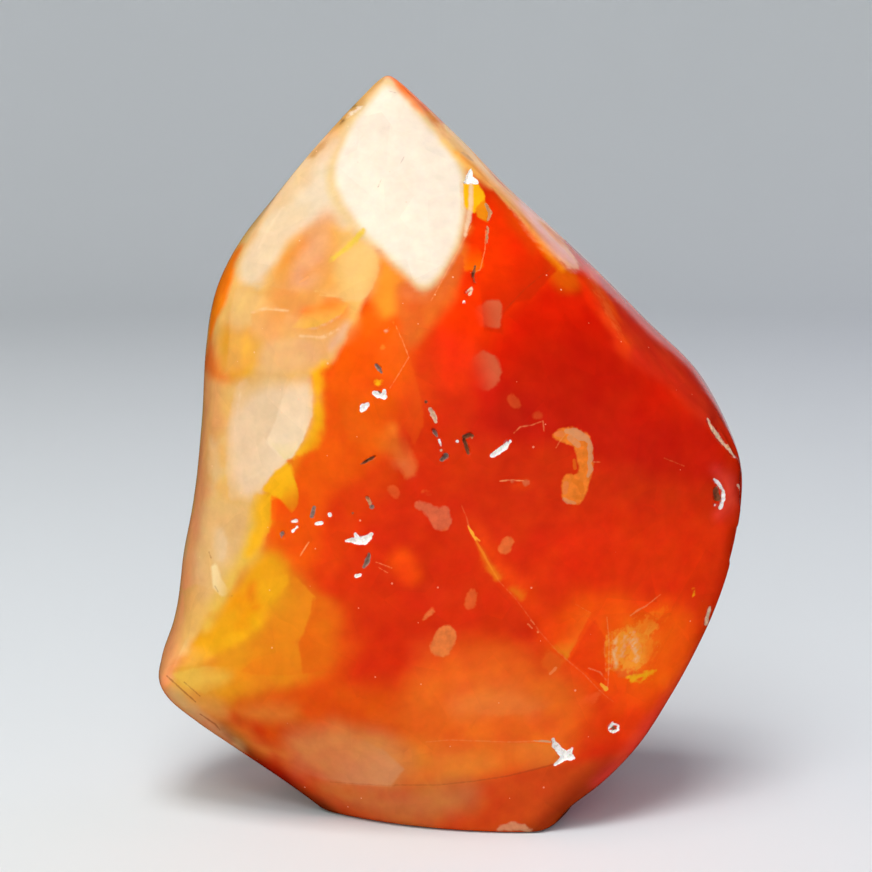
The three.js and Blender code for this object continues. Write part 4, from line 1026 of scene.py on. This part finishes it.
def write_attribute(mesh, name, kind, values):
    """Stores one value for each point of the mesh under a name that the material reads."""
    attribute = mesh.attributes.new(name, kind, "POINT")
    field = {"FLOAT_VECTOR": "vector", "FLOAT_COLOR": "color"}[kind]
    attribute.data.foreach_set(field, np.ascontiguousarray(values, np.float32).ravel())


def paint_skin(mesh, surface, colours, finish):
    """Stores the clouds, the veils and the small marks on the points of the mesh."""
    ground = cloud_colours(surface, colours, finish)
    write_attribute(mesh, "ground", "FLOAT_COLOR", np.concatenate([ground, np.ones((len(ground), 1))], 1))
    for number, (_, edge, colour) in enumerate(veil_sheets(surface, colours)):
        write_attribute(mesh, f"veil_edge_{number}", "FLOAT_VECTOR", edge)
        write_attribute(mesh, f"veil_colour_{number}", "FLOAT_COLOR", colour)
    depths = []
    for name, marks in (("mark", MARKS), ("crack", CRACKS), ("pocket", POCKETS)):
        inside, nearest = nearest_marks(marks, surface)
        table = np.array([(*getattr(colours, mark[0]), getattr(mark, "opacity", 1.0)) for mark in marks])
        write_attribute(mesh, name + "_colour", "FLOAT_COLOR", table[nearest])
        depths.append(inside)
    write_attribute(mesh, "marks_inside", "FLOAT_VECTOR", np.stack(depths, 1))


def flame_mesh(colours, finish):
    """The stone as one closed mesh, with its colours, marks, cracks and pockets stored on its points."""
    grid = unrolled_grid()
    refine_at_marks(grid)
    places, heights = unrolled_places(grid)
    outward = outward_directions(places, heights)
    surface = Skin(skin(places, heights), outward)
    inward = hollow_depths(surface, finish)
    carved = surface.points - outward * inward[:, None]
    carved[:, 2] = np.clip(carved[:, 2], 0, None)
    carved[heights <= 0, 2] = 0
    carved[heights >= HEIGHT] = carved[heights >= HEIGHT].mean(axis=0)
    for vertex, point in zip(grid.verts, carved):
        vertex.co = point
    bmesh.ops.remove_doubles(grid, verts=grid.verts, dist=WELD)
    many_sided = [face for face in grid.faces if len(face.verts) > 4]
    bmesh.ops.triangulate(grid, faces=many_sided)
    mesh = bpy.data.meshes.new("carnelian_flame_skin")
    grid.to_mesh(mesh)
    grid.free()
    mesh.shade_smooth()

    points, outward = np.empty((2, len(mesh.vertices) * 3), np.float32)
    mesh.vertices.foreach_get("co", points)
    mesh.vertices.foreach_get("normal", outward)
    surface = Skin(points.reshape(-1, 3).astype(float), outward.reshape(-1, 3).astype(float))
    paint_skin(mesh, surface, colours, finish)
    mesh.transform(((MM, 0, 0, 0), (0, MM, 0, 0), (0, 0, MM, 0), (0, 0, 0, 1)))
    return mesh


# The material

MIX_FACTOR, MIX_A, MIX_B, MIX_RESULT = 0, 6, 7, 2


def add_node(tree, kind, inputs=(), **settings):
    """Adds a node, sets its properties, and fills its inputs with values or with other nodes' outputs."""
    node = tree.nodes.new("ShaderNode" + kind)
    for name, value in settings.items():
        setattr(node, name, value)
    for socket, value in dict(inputs).items():
        if isinstance(value, bpy.types.NodeSocket):
            tree.links.new(value, node.inputs[socket])
        else:
            node.inputs[socket].default_value = value
    return node


def opaque(colour):
    """A colour property's value with full alpha, as node sockets want it."""
    return (*colour, 1.0)


def polished_carnelian(mesh, colours, finish):
    """Carnelian, an agate stained by iron, ground and tumbled to a wax-like gloss.

    Its colour sits a few millimetres deep, in clouds and in veils with one crisp edge, so light spreads under
    the surface and rounds the ridges off; the polish on top is nearly a mirror.
    """
    material = bpy.data.materials.new("polished_carnelian")
    material.use_nodes = True
    tree = material.node_tree
    tree.nodes.clear()
    add = partial(add_node, tree)
    place = add("TexCoord").outputs["Object"]
    in_mm = add("VectorMath", {0: place, "Scale": 1 / MM}, operation="SCALE").outputs[0]
    colour = add("Attribute", attribute_name="ground").outputs["Color"]

    # Shreds of 0.9 mm and grain of 0.5 mm, from about -1 to 1, make the edges ragged.
    shred = add("TexNoise", {"Vector": in_mm, "Scale": 1 / 0.9, "Detail": 2.0}).outputs[0]
    shred = add("Math", {0: shred, 1: 4.0, 2: -2.0}, operation="MULTIPLY_ADD").outputs[0]
    grain = add("TexNoise", {"Vector": in_mm, "Scale": 1 / 0.5, "Detail": 1.0}).outputs[0]
    grain = add("Math", {0: grain, 1: 3.0, 2: -1.5}, operation="MULTIPLY_ADD").outputs[0]

    for name in [stored.name for stored in mesh.attributes if stored.name.startswith("veil_edge")]:
        stored = add("Attribute", attribute_name=name)
        parts = add("SeparateXYZ", {0: stored.outputs["Vector"]}).outputs
        edge = add("Math", {0: shred, 1: parts[1], 2: parts[0]}, operation="MULTIPLY_ADD").outputs[0]
        cover = add("MapRange", {0: edge, 1: -1.0, 2: 1.0}, interpolation_type="SMOOTHSTEP").outputs[0]
        cover = add("Math", {0: cover, 1: parts[2]}, operation="MULTIPLY").outputs[0]
        veil = add("Attribute", attribute_name=name.replace("edge", "colour")).outputs["Color"]
        colour = add("Mix", {MIX_FACTOR: cover, MIX_A: colour, MIX_B: veil},
            data_type="RGBA").outputs[MIX_RESULT]

    # Old healed fractures divide the inside into cells of 6 to 11 mm. Each brightens towards one side and
    # ends there in a crisp edge. Wisps of about 2.4 mm drift through them.
    light = 1.0
    for width in (11.0, 6.0):
        cell = add("TexVoronoi", {"Vector": in_mm, "Scale": 1 / width}, feature="F1").outputs
        arm = add("VectorMath", {0: in_mm, 1: cell["Position"]}, operation="SUBTRACT").outputs[0]
        turn = add("VectorMath", {0: cell["Color"], 1: (0.5, 0.5, 0.5)}, operation="SUBTRACT").outputs[0]
        slope = add("VectorMath", {0: arm, 1: turn}, operation="DOT_PRODUCT").outputs["Value"]
        light = add("Math", {0: slope, 1: finish.cell_contrast / width * 4, 2: light},
            operation="MULTIPLY_ADD").outputs[0]
    wisp = add("TexNoise", {"Vector": in_mm, "Scale": 1 / 2.4, "Detail": 3.0, "Roughness": 0.6}).outputs[0]
    mottle = add("MapRange", {0: wisp, 1: 0.3, 2: 0.7, 3: 0.94, 4: 1.06}).outputs[0]
    light = add("Math", {0: light, 1: mottle}, operation="MULTIPLY").outputs[0]
    colour = add("VectorMath", {0: colour, "Scale": light}, operation="SCALE").outputs[0]

    stored = add("Attribute", attribute_name="marks_inside")
    mark_edge, crack_edge, pocket_edge = add("SeparateXYZ", {0: stored.outputs["Vector"]}).outputs

    # Clouded blobs of 1 to 4 mm just below the surface.
    blob = add("Attribute", attribute_name="mark_colour")
    edge = add("Math", {0: shred, 1: 0.2, 2: mark_edge}, operation="MULTIPLY_ADD").outputs[0]
    cover = add("MapRange", {0: edge, 1: -0.18, 2: 0.26}, interpolation_type="SMOOTHSTEP").outputs[0]
    cover = add("Math", {0: cover, 1: blob.outputs["Alpha"]}, operation="MULTIPLY").outputs[0]
    mottle = add("MapRange", {0: shred, 1: -1.0, 2: 1.0, 3: 0.82, 4: 1.14}).outputs[0]
    blob = add("VectorMath", {0: blob.outputs["Color"], "Scale": mottle}, operation="SCALE").outputs[0]
    colour = add("Mix", {MIX_FACTOR: cover, MIX_A: colour, MIX_B: blob}, data_type="RGBA").outputs[MIX_RESULT]

    # Tiny pale specks, about 0.2 mm wide and 2 mm apart; the finest real ones would be lost in the picture.
    speck = add("TexVoronoi", {"Vector": in_mm, "Scale": 1 / 2.2}, feature="F1")
    chance = add("SeparateColor", {0: speck.outputs["Color"]}).outputs[0]
    size = add("MapRange", {0: chance, 1: 0.3, 2: 1.0, 3: 0.0, 4: 0.075}).outputs[0]
    cover = add("Math", {0: speck.outputs["Distance"], 1: size}, operation="LESS_THAN").outputs[0]
    cover = add("Math", {0: cover, 1: 0.5}, operation="MULTIPLY").outputs[0]
    colour = add("Mix", {MIX_FACTOR: cover, MIX_A: colour, MIX_B: opaque(colours.speck)},
        data_type="RGBA").outputs[MIX_RESULT]

    # Hairline cracks, broken up along their length.
    hair = add("Attribute", attribute_name="crack_colour")
    edge = add("Math", {0: grain, 1: 0.06, 2: crack_edge}, operation="MULTIPLY_ADD").outputs[0]
    cover = add("MapRange", {0: edge, 1: -0.08, 2: 0.08}, interpolation_type="SMOOTHSTEP").outputs[0]
    cover = add("Math", {0: cover, 1: hair.outputs["Alpha"]}, operation="MULTIPLY").outputs[0]
    colour = add("Mix", {MIX_FACTOR: cover, MIX_A: colour, MIX_B: hair.outputs["Color"]},
        data_type="RGBA").outputs[MIX_RESULT]

    # Open pockets lined with quartz crystals of about 0.3 mm, some clear and dark, some chalky.
    lining = add("Attribute", attribute_name="pocket_colour").outputs["Color"]
    edge = add("Math", {0: shred, 1: 0.14, 2: pocket_edge}, operation="MULTIPLY_ADD").outputs[0]
    open_part = add("MapRange", {0: edge, 1: -0.06, 2: 0.06}).outputs[0]
    crystal = add("TexVoronoi", {"Vector": in_mm, "Scale": 1 / 0.32}, feature="F1")
    glint = add("SeparateColor", {0: crystal.outputs["Color"]}).outputs[0]
    glint = add("MapRange", {0: glint, 3: 0.82, 4: 1.25}).outputs[0]
    lining = add("VectorMath", {0: lining, "Scale": glint}, operation="SCALE").outputs[0]
    colour = add("Mix", {MIX_FACTOR: open_part, MIX_A: colour, MIX_B: lining},
        data_type="RGBA").outputs[MIX_RESULT]

    # A near mirror polish with faint wiping marks, and dull crystals in the pockets.
    wiped = add("MapRange", {0: wisp, 1: 0.3, 2: 0.7, 3: finish.gloss_roughness * 0.85,
        4: finish.gloss_roughness * 1.15}).outputs[0]
    roughness = add("Mix", {MIX_FACTOR: open_part, 2: wiped, 3: 0.6}, data_type="FLOAT").outputs[0]
    relief = add("Math", {0: crystal.outputs["Distance"], 1: open_part}, operation="MULTIPLY").outputs[0]
    bump = add("Bump", {"Height": relief, "Strength": 0.6, "Distance": 0.25 * MM}).outputs[0]
    shader = add("BsdfPrincipled", {
        "Base Color": colour,
        "Roughness": roughness,
        "Normal": bump,
        "IOR": 1.54,
        "Subsurface Weight": finish.glow_weight,
        "Subsurface Radius": (1.0, 0.35, 0.15),
        "Subsurface Scale": finish.glow_depth,
    }, subsurface_method="RANDOM_WALK")
    add("OutputMaterial", {"Surface": shader.outputs[0]})
    return material


def studio_paint(name, colour, roughness):
    """Matt emulsion on a studio sweep: chalky and even, with only a trace of mottle from the roller."""
    material = bpy.data.materials.new(name)
    material.use_nodes = True
    tree = material.node_tree
    tree.nodes.clear()
    add = partial(add_node, tree)
    place = add("TexCoord").outputs["Object"]
    mottle = add("TexNoise", {"Vector": place, "Scale": 9.0, "Detail": 2.0}).outputs[0]
    darker = tuple(value * 0.985 for value in colour)
    paint = add("Mix", {MIX_FACTOR: mottle, MIX_A: opaque(colour), MIX_B: opaque(darker)},
        data_type="RGBA").outputs[MIX_RESULT]
    shader = add("BsdfPrincipled", {"Base Color": paint, "Roughness": roughness, "IOR": 1.45})
    add("OutputMaterial", {"Surface": shader.outputs[0]})
    return material


# The studio

SWEEP_FLAT = 0.8
SWEEP_CURVE = 0.6
SWEEP_TOP = 0.85
SWEEP_SEGMENTS = 96
FLOOR_RINGS = 8
CURVE_RINGS = 16
STONE_MIDDLE = (0.0, 0.0, 0.05)
FLOOR_GAP = 0.00004  # keeps the floor just clear of the flat base


def sweep_mesh(name, first, last):
    """A slice of a round floor that curves up into a wall, between two of its segments."""
    profile = [(SWEEP_FLAT * k / FLOOR_RINGS, 0.0) for k in range(1, FLOOR_RINGS + 1)]
    profile += [(SWEEP_FLAT + SWEEP_CURVE * math.sin(a), SWEEP_CURVE * (1 - math.cos(a)))
                for a in np.linspace(0, math.pi / 2, CURVE_RINGS + 1)[1:]]
    profile.append((SWEEP_FLAT + SWEEP_CURVE, SWEEP_TOP))
    turns = [2 * math.pi * k / SWEEP_SEGMENTS for k in range(SWEEP_SEGMENTS)]
    sweep = bmesh.new()
    rings = [[sweep.verts.new((r * math.cos(a), r * math.sin(a), z)) for a in turns] for r, z in profile]
    centre = sweep.verts.new((0, 0, 0))
    for k in range(first, last):
        k, after = k % SWEEP_SEGMENTS, (k + 1) % SWEEP_SEGMENTS
        sweep.faces.new((centre, rings[0][k], rings[0][after]))
        for low, high in zip(rings[:-1], rings[1:]):
            sweep.faces.new((low[k], high[k], high[after], low[after]))
    loose = [vertex for vertex in sweep.verts if not vertex.link_faces]
    bmesh.ops.delete(sweep, geom=loose, context="VERTS")
    mesh = bpy.data.meshes.new(name)
    sweep.to_mesh(mesh)
    sweep.free()
    mesh.shade_smooth()
    return mesh


def place_object(name, data):
    """Puts a new object with this data into the scene."""
    made = bpy.data.objects.new(name, data)
    bpy.context.scene.collection.objects.link(made)
    return made


def aim(made, place, target):
    """Stands an object at a place and turns its front towards a target."""
    made.location = place
    direction = made.location.copy()
    direction.xyz = [t - p for t, p in zip(target, place)]
    made.rotation_euler = direction.to_track_quat("-Z", "Y").to_euler()


def soft_light(name, place, width, power, colour):
    """A large square lamp that points at the stone and that no camera sees."""
    lamp = bpy.data.lights.new(name, "AREA")
    lamp.shape = "SQUARE"
    lamp.size = width
    lamp.energy = power
    lamp.color = colour
    made = place_object(name, lamp)
    aim(made, place, STONE_MIDDLE)
    made.visible_camera = False
    return made


# Settings, operators and panel


def colour_setting(name, description, code):
    """A colour that the user may change, given as sRGB hex."""
    return FloatVectorProperty(
        name=name, description=description, subtype="COLOR", size=3, min=0.0, max=1.0, default=linear(code)
    )


# The colours of the stone, its bands and its pockets, as sRGB hex, and what each is for.
# Only 15 of the 105 values were chosen one by one. A program made the other 90 by fitting the render to the
# photograph's pixels, which the rules for this file don't allow, so they are no example to follow. A fitted
# value also makes up for the light and for the layers over it, so it isn't the colour of the stone alone.
STONE_COLOURS = {
    "body": ("#DB2D02", "Red orange of most of the stone"),
    "body_deep": ("#CD2602", "Deeper red clouds in the body"),
    "deep_red": ("#D31A02", "The dense red heart"),
    "dark_red": ("#BB1905", "The darkest red, inside the heart"),
    "glow_red": ("#EA3001", "Bright orange red where the stone is clear"),
    "plane_red": ("#CC2704", "Fracture plane beside the right ridge"),
    "orange_red": ("#E03C02", "The red beside the pale band"),
    "hot_orange": ("#FD5101", "Orange near the lower right edge"),
    "vivid_orange": ("#ED5701", "Orange along the pale band"),
    "orange_lit": ("#EC630E", "Fracture planes in the orange"),
    "cloud_gold": ("#FFA235", "Long golden cloud left of the middle"),
    "cloud_peach": ("#E97230", "Milky cloud left of the middle"),
    "burnt_orange": ("#DD4C04", "Dull orange low on the left"),
    "burnt_light": ("#FE7516", "Fracture planes that catch the light"),
    "clouded_orange": ("#F06717", "Milky orange above the foot"),
    "milky_orange": ("#F07E35", "The palest haze above the foot"),
    "ember": ("#CE4411", "Dull red of the foot"),
    "orange": ("#D85805", "Orange at the end of the right face"),
    "orange_patch": ("#FF5D01", "Glow round the golden patch"),
    "orange_yellow": ("#FB9307", "Yellowish orange lines and columns"),
    "column_gold": ("#F39225", "Golden orange below the cap"),
    "ridge_orange": ("#DC4505", "Orange glow along the right ridge"),
    "ridge_golden": ("#F7BF57", "Golden glow high on the right ridge"),
    "orange_edge": ("#F87B12", "Orange rim of the pale band"),
    "ridge_bright": ("#FF691C", "The bright orange ridge beside the tip"),
    "salmon": ("#D9641E", "Milky haze over the red"),
    "pale_salmon": ("#DD7437", "Pale clouds in the red"),
    "patch_pale": ("#FFA231", "Crystalline golden patch"),
    "patch_shade": ("#E07838", "Shaded foot of the patch"),
    "streak_peach": ("#F76226", "Feathery streak on the right face"),
    "cloud_tan": ("#D58657", "Tan clouds in the red"),
    "cloud_rim": ("#CA663F", "Brownish orange edges of the clouds in the red"),
    "clay": ("#E67434", "Dull clouds in the red"),
    "tan": ("#D09F6A", "The left lower edge"),
    "tan_low": ("#E39738", "Tan haze above the left lower edge"),
    "tan_gold": ("#E09B49", "The amber near the low corner"),
    "tan_orange": ("#DF8C33", "The clear stretch between the two lines of the foot"),
    "streak_red": ("#FF2A04", "Streaky red end of the right face"),
    # Partly the stone's milky haze, partly a painted reflection of the white floor on the lower front.
    "beige": ("#DD8E4E", "Milky band near the base"),
    # The brightest part of that band, partly a painted reflection of the floor.
    "beige_pale": ("#D69566", "The brightest part of that band"),
    "beige_deep": ("#C47D41", "The foot below that band"),
    # Painted shade: the near black of the lower edges where they turn under into shadow; the same colour serves
    # the small dark flecks beside the cap.
    "rim_dark": ("#2D0A01", "Dark rim along the lower edge"),
    "edge_red": ("#C82A13", "Red patches on the right edge"),
    "brick": ("#E13217", "Dull red of the right face"),
    # Painted reflection: the lilac of the floor mirrored along the lower right edge.
    "mauve": ("#AC5C70", "Cool rim along the lower right edge"),
    # Partly the stone's red, partly a painted pink reflection of the floor.
    "rim_coral": ("#FF503D", "Coral red inside that rim"),
    # Partly the milky stone, partly a painted reflection of the backdrop on the narrow right face.
    "face_peach": ("#FFBF77", "The milky right face beside the cap"),
    # Partly painted reflection: the pinkish lilac of the backdrop mirrored low on the right face.
    "face_pink": ("#FFB5A8", "Pinkish lower end of the right face"),
    "face_gold": ("#FFCB8E", "Golden peach at the top of the right face"),
    "amber": ("#DD8915", "The amber corner"),
    "amber_clear": ("#EE9502", "Saturated amber"),
    "amber_low_light": ("#DF6D09", "Lit lower edge of the amber"),
    "amber_orange": ("#E68411", "Darker amber"),
    "hot_amber": ("#E05603", "Amber turning to red"),
    "amber_bright": ("#EBA210", "The clearest amber"),
    "streak_orange": ("#FF730F", "Orange streaks in the pale band"),
    "gold": ("#F5B011", "The golden rim of the pale band"),
    "yellow": ("#E3BC43", "The yellow wedge below the cap"),
    "yellow_cream": ("#E8B66F", "The yellow veil below the cap"),
    "cream_gold": ("#E6B267", "Golden cream veils"),
    "pale_gold": ("#E1B248", "Pale golden veils"),
    "pale_gold_light": ("#EBA818", "Golden facet beside the pale band"),
    "honey": ("#DA8F17", "Golden streak down the pale band"),
    "honey_pale": ("#DDB587", "Thin golden streaks beside the left edge"),
    "honey_deep": ("#E8A00F", "Densest part of the golden streak"),
    "peach": ("#E5AF60", "The pale band on the left"),
    "light_peach": ("#E8C49E", "Lighter facets in the pale band"),
    "pale_beige": ("#E1C9AB", "Beige parts of the pale band"),
    "cream_column": ("#DFC39E", "Cream column in the pale band"),
    "straw": ("#DEAF72", "Yellowish parts of the pale band"),
    "sand_straw": ("#DA915B", "Tan strip inside the left edge"),
    "straw_pale": ("#D8A25A", "Foot of the cream column"),
    "sand": ("#DCA258", "Sandy wedge in the pale band"),
    "sand_deep": ("#E3A972", "Fold in the pale band"),
    "blush": ("#DEA986", "Pinkish white facets"),
    "blush_white": ("#F6D9B5", "Silky facets in the pale band"),
    "facet_sand": ("#E2BE8F", "Sandy facets low in the pale band"),
    "apricot": ("#DF9549", "Orange veil across the pale band"),
    "apricot_pale": ("#DEA262", "Lit edge of that veil"),
    "apricot_deep": ("#DE8826", "Densest part of that veil"),
    "apricot_core_low": ("#E5A944", "Golden orange behind the scallops"),
    "apricot_tan": ("#DD9B6C", "Tan part of that veil"),
    "tawny": ("#BE8D4F", "Brownish rim at the left edge"),
    "rim_peach": ("#ED9963", "Peach rim at the left edge"),
    "blotch_orange": ("#E06517", "Orange blotch at the left edge"),
    "cap_warm": ("#E0C08C", "Warm rim of the milky cap"),
    "cream": ("#ECDAC6", "The milky cap at the top"),
    "cream_light": ("#EED39D", "Facets that catch the light"),
    "blob_pink": ("#DD6F47", "Pinkish blobs below the surface"),
    "blob_orange": ("#E9833F", "Orange blobs below the surface"),
    "crust": ("#F98A29", "Ochre crust of the hooked mark"),
    "crust_pale": ("#D5A37A", "Pale rim of the crust"),
    "crust_deep": ("#E87418", "Orange hollows of the crust"),
    "crust_orange": ("#EE8048", "Ends of the hooked mark"),
    "crack_light": ("#F4A060", "Cracks that catch the light"),
    "crack_gold": ("#FFB634", "Crack planes seen from the side"),
    "crack_amber": ("#F58A20", "Crack planes with less light"),
    "crack_dark": ("#8A3A1C", "Hairlines that hold dirt"),
    "speck": ("#FFC8A0", "Tiny pale specks"),
    "druse_white": ("#FFFAF4", "White crystals in the pockets"),
    "druse_grey": ("#96786A", "Shaded crystals in the pockets"),
    "druse_brown": ("#8A4E2C", "Iron-stained pocket linings"),
    "druse_tan": ("#C88C60", "Sandy pocket linings"),
    "druse_crust": ("#E8C0A0", "Beige pocket linings"),
    "druse_gold": ("#D89050", "Golden lining of the edge chip"),
}


class CarnelianColours(bpy.types.PropertyGroup):
    """Colours of the stone, its bands and its pockets."""

    __annotations__ = {
        name: colour_setting(name.replace("_", " ").capitalize(), description, code)
        for name, (code, description) in STONE_COLOURS.items()
    }


class CarnelianFinish(bpy.types.PropertyGroup):
    """Polish and light inside the stone."""

    gloss_roughness: FloatProperty(
        name="Gloss roughness", description="Roughness of the polish", default=0.14, min=0.0, max=1.0
    )
    glow_weight: FloatProperty(
        name="Glow", description="Share of the light that spreads below the surface", default=0.3,
        min=0.0, max=1.0
    )
    glow_depth: FloatProperty(
        name="Glow depth", description="How far light spreads in the stone", default=0.002, min=0.0,
        subtype="DISTANCE", unit="LENGTH"
    )
    cell_contrast: FloatProperty(
        name="Cell contrast", description="How much healed fractures change the brightness", default=0.02,
        min=0.0, max=1.0
    )
    mottling: FloatProperty(
        name="Mottling", description="How much the colour varies between yellow and red",
        default=0.12, min=0.0, max=0.5
    )
    pocket_depth: FloatProperty(
        name="Pocket depth", description="Scales the depth of the open pockets", default=1.0, min=0.0, max=2.0
    )
    hand_waves: FloatProperty(
        name="Hand waves", description="Depth of the slight waves of hand grinding, in millimetres",
        default=0.1, min=0.0, max=0.5
    )


class StudioSettings(bpy.types.PropertyGroup):
    """Floor and lights."""

    floor_colour: colour_setting("Floor", "Paint of the floor and the wall", "#E4E8EA")
    key_power: FloatProperty(
        name="Key light", description="Power of the light high in front", default=3.4, min=0.0,
        subtype="POWER", unit="POWER"
    )
    fill_power: FloatProperty(
        name="Fill light", description="Power of the wide light in front", default=3.6, min=0.0,
        subtype="POWER", unit="POWER"
    )
    top_power: FloatProperty(
        name="Top light", description="Power of the light overhead", default=6.5, min=0.0, subtype="POWER",
        unit="POWER"
    )
    right_power: FloatProperty(
        name="Right light", description="Power of the violet light behind on the right", default=1.1, min=0.0,
        subtype="POWER", unit="POWER"
    )
    left_power: FloatProperty(
        name="Left light", description="Power of the greenish light on the left", default=1.2, min=0.0,
        subtype="POWER", unit="POWER"
    )
    sky_strength: FloatProperty(
        name="Sky", description="Strength of the even light from all sides", default=0.2, min=0.0, max=5.0
    )


class CARNELIAN_OT_carve_flame(bpy.types.Operator):
    """Carve and polish the stone in place of its plain solid"""

    bl_idname = "carnelian.carve_flame"
    bl_label = "Carve the flame"

    def execute(self, context):
        scene = context.scene
        mesh = flame_mesh(scene.carnelian_colours, scene.carnelian_finish)
        mesh.materials.append(polished_carnelian(mesh, scene.carnelian_colours, scene.carnelian_finish))
        stone = place_object("carnelian_flame_polished", mesh)
        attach(stone, "root")
        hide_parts(STONE_NODE)
        return {"FINISHED"}


class CARNELIAN_OT_set_stage(bpy.types.Operator):
    """Set the floor, the lights and the camera"""

    bl_idname = "carnelian.set_stage"
    bl_label = "Set the stage"

    def execute(self, context):
        scene = context.scene
        studio = scene.carnelian_studio
        paint = studio_paint("matt_studio_paint", tuple(studio.floor_colour), 0.8)
        start, end = SWEEP_SEGMENTS * 3 // 16, SWEEP_SEGMENTS // 4
        slices = (("studio_right_back", start, end), ("studio_rest", end, SWEEP_SEGMENTS + start))
        for name, first, last in slices:
            sweep = place_object(name, sweep_mesh(name, first, last))
            sweep.location.z = -FLOOR_GAP
            sweep.data.materials.append(paint)
            # Of the floor and the wall, the polish mirrors only the slice behind the stone on the right.
            sweep.visible_glossy = first == start

        # Name, place, width, power, colour, and whether the polish mirrors it.
        lamps = (
            ("key_light", (-0.28, -0.56, 0.95), 0.5, studio.key_power, "#FFFFFF", False),
            ("fill_light", (-0.15, -1.0, 0.5), 0.9, studio.fill_power, "#FFFFFF", False),
            ("top_light", (-0.05, -0.3, 1.1), 0.5, studio.top_power, "#FFFFFF", False),
            ("right_light", (0.85, 0.5, 0.4), 0.5, studio.right_power, "#C8BCFF", False),
            ("left_light", (-0.95, -0.28, 0.3), 0.5, studio.left_power, "#FFFFD8", True),
        )
        for name, place, width, power, colour, mirrored in lamps:
            soft_light(name, place, width, power, linear(colour)).visible_glossy = mirrored

        world = bpy.data.worlds.new("studio_air")
        world.use_nodes = True
        world.node_tree.nodes["Background"].inputs[0].default_value = opaque(linear("#E6E8EA"))
        world.node_tree.nodes["Background"].inputs[1].default_value = studio.sky_strength
        scene.world = world
        world.cycles_visibility.glossy = False
        scene.view_settings.view_transform = "Standard"

        camera = bpy.data.cameras.new("studio_camera")
        camera.lens = LENS
        camera.sensor_width = SENSOR
        camera.clip_start = 0.01
        viewer = place_object("studio_camera", camera)
        ahead = np.array((0, math.cos(CAMERA_TILT), -math.sin(CAMERA_TILT)))
        viewer.location = (CAMERA_AIM - CAMERA_DISTANCE * ahead) * MM
        viewer.rotation_euler = (math.pi / 2 - CAMERA_TILT, 0, 0)
        scene.camera = viewer
        return {"FINISHED"}


class CARNELIAN_PT_sidebar(bpy.types.Panel):
    """Lists the steps and the settings of the carnelian flame"""

    bl_idname = "CARNELIAN_PT_sidebar"
    bl_label = "Carnelian flame"
    bl_space_type = "VIEW_3D"
    bl_region_type = "UI"
    bl_category = "Carnelian"

    def draw(self, context):
        layout = self.layout
        layout.operator(CARNELIAN_OT_carve_flame.bl_idname)
        layout.operator(CARNELIAN_OT_set_stage.bl_idname)
        for group in ("carnelian_finish", "carnelian_studio", "carnelian_colours"):
            box = layout.box()
            settings = getattr(context.scene, group)
            for name in settings.__annotations__:
                box.prop(settings, name)


CLASSES = (
    CarnelianColours,
    CarnelianFinish,
    StudioSettings,
    CARNELIAN_OT_carve_flame,
    CARNELIAN_OT_set_stage,
    CARNELIAN_PT_sidebar,
)


def register():
    """Adds the settings, the operators and the panel to Blender."""
    for made in CLASSES:
        bpy.utils.register_class(made)
    bpy.types.Scene.carnelian_colours = PointerProperty(type=CarnelianColours)
    bpy.types.Scene.carnelian_finish = PointerProperty(type=CarnelianFinish)
    bpy.types.Scene.carnelian_studio = PointerProperty(type=StudioSettings)


def unregister():
    """Takes them away again."""
    del bpy.types.Scene.carnelian_colours
    del bpy.types.Scene.carnelian_finish
    del bpy.types.Scene.carnelian_studio
    for made in reversed(CLASSES):
        bpy.utils.unregister_class(made)


def main():
    """Makes the whole scene."""
    register()
    bpy.ops.carnelian.carve_flame()
    bpy.ops.carnelian.set_stage()


if __name__ == "__main__":
    main()
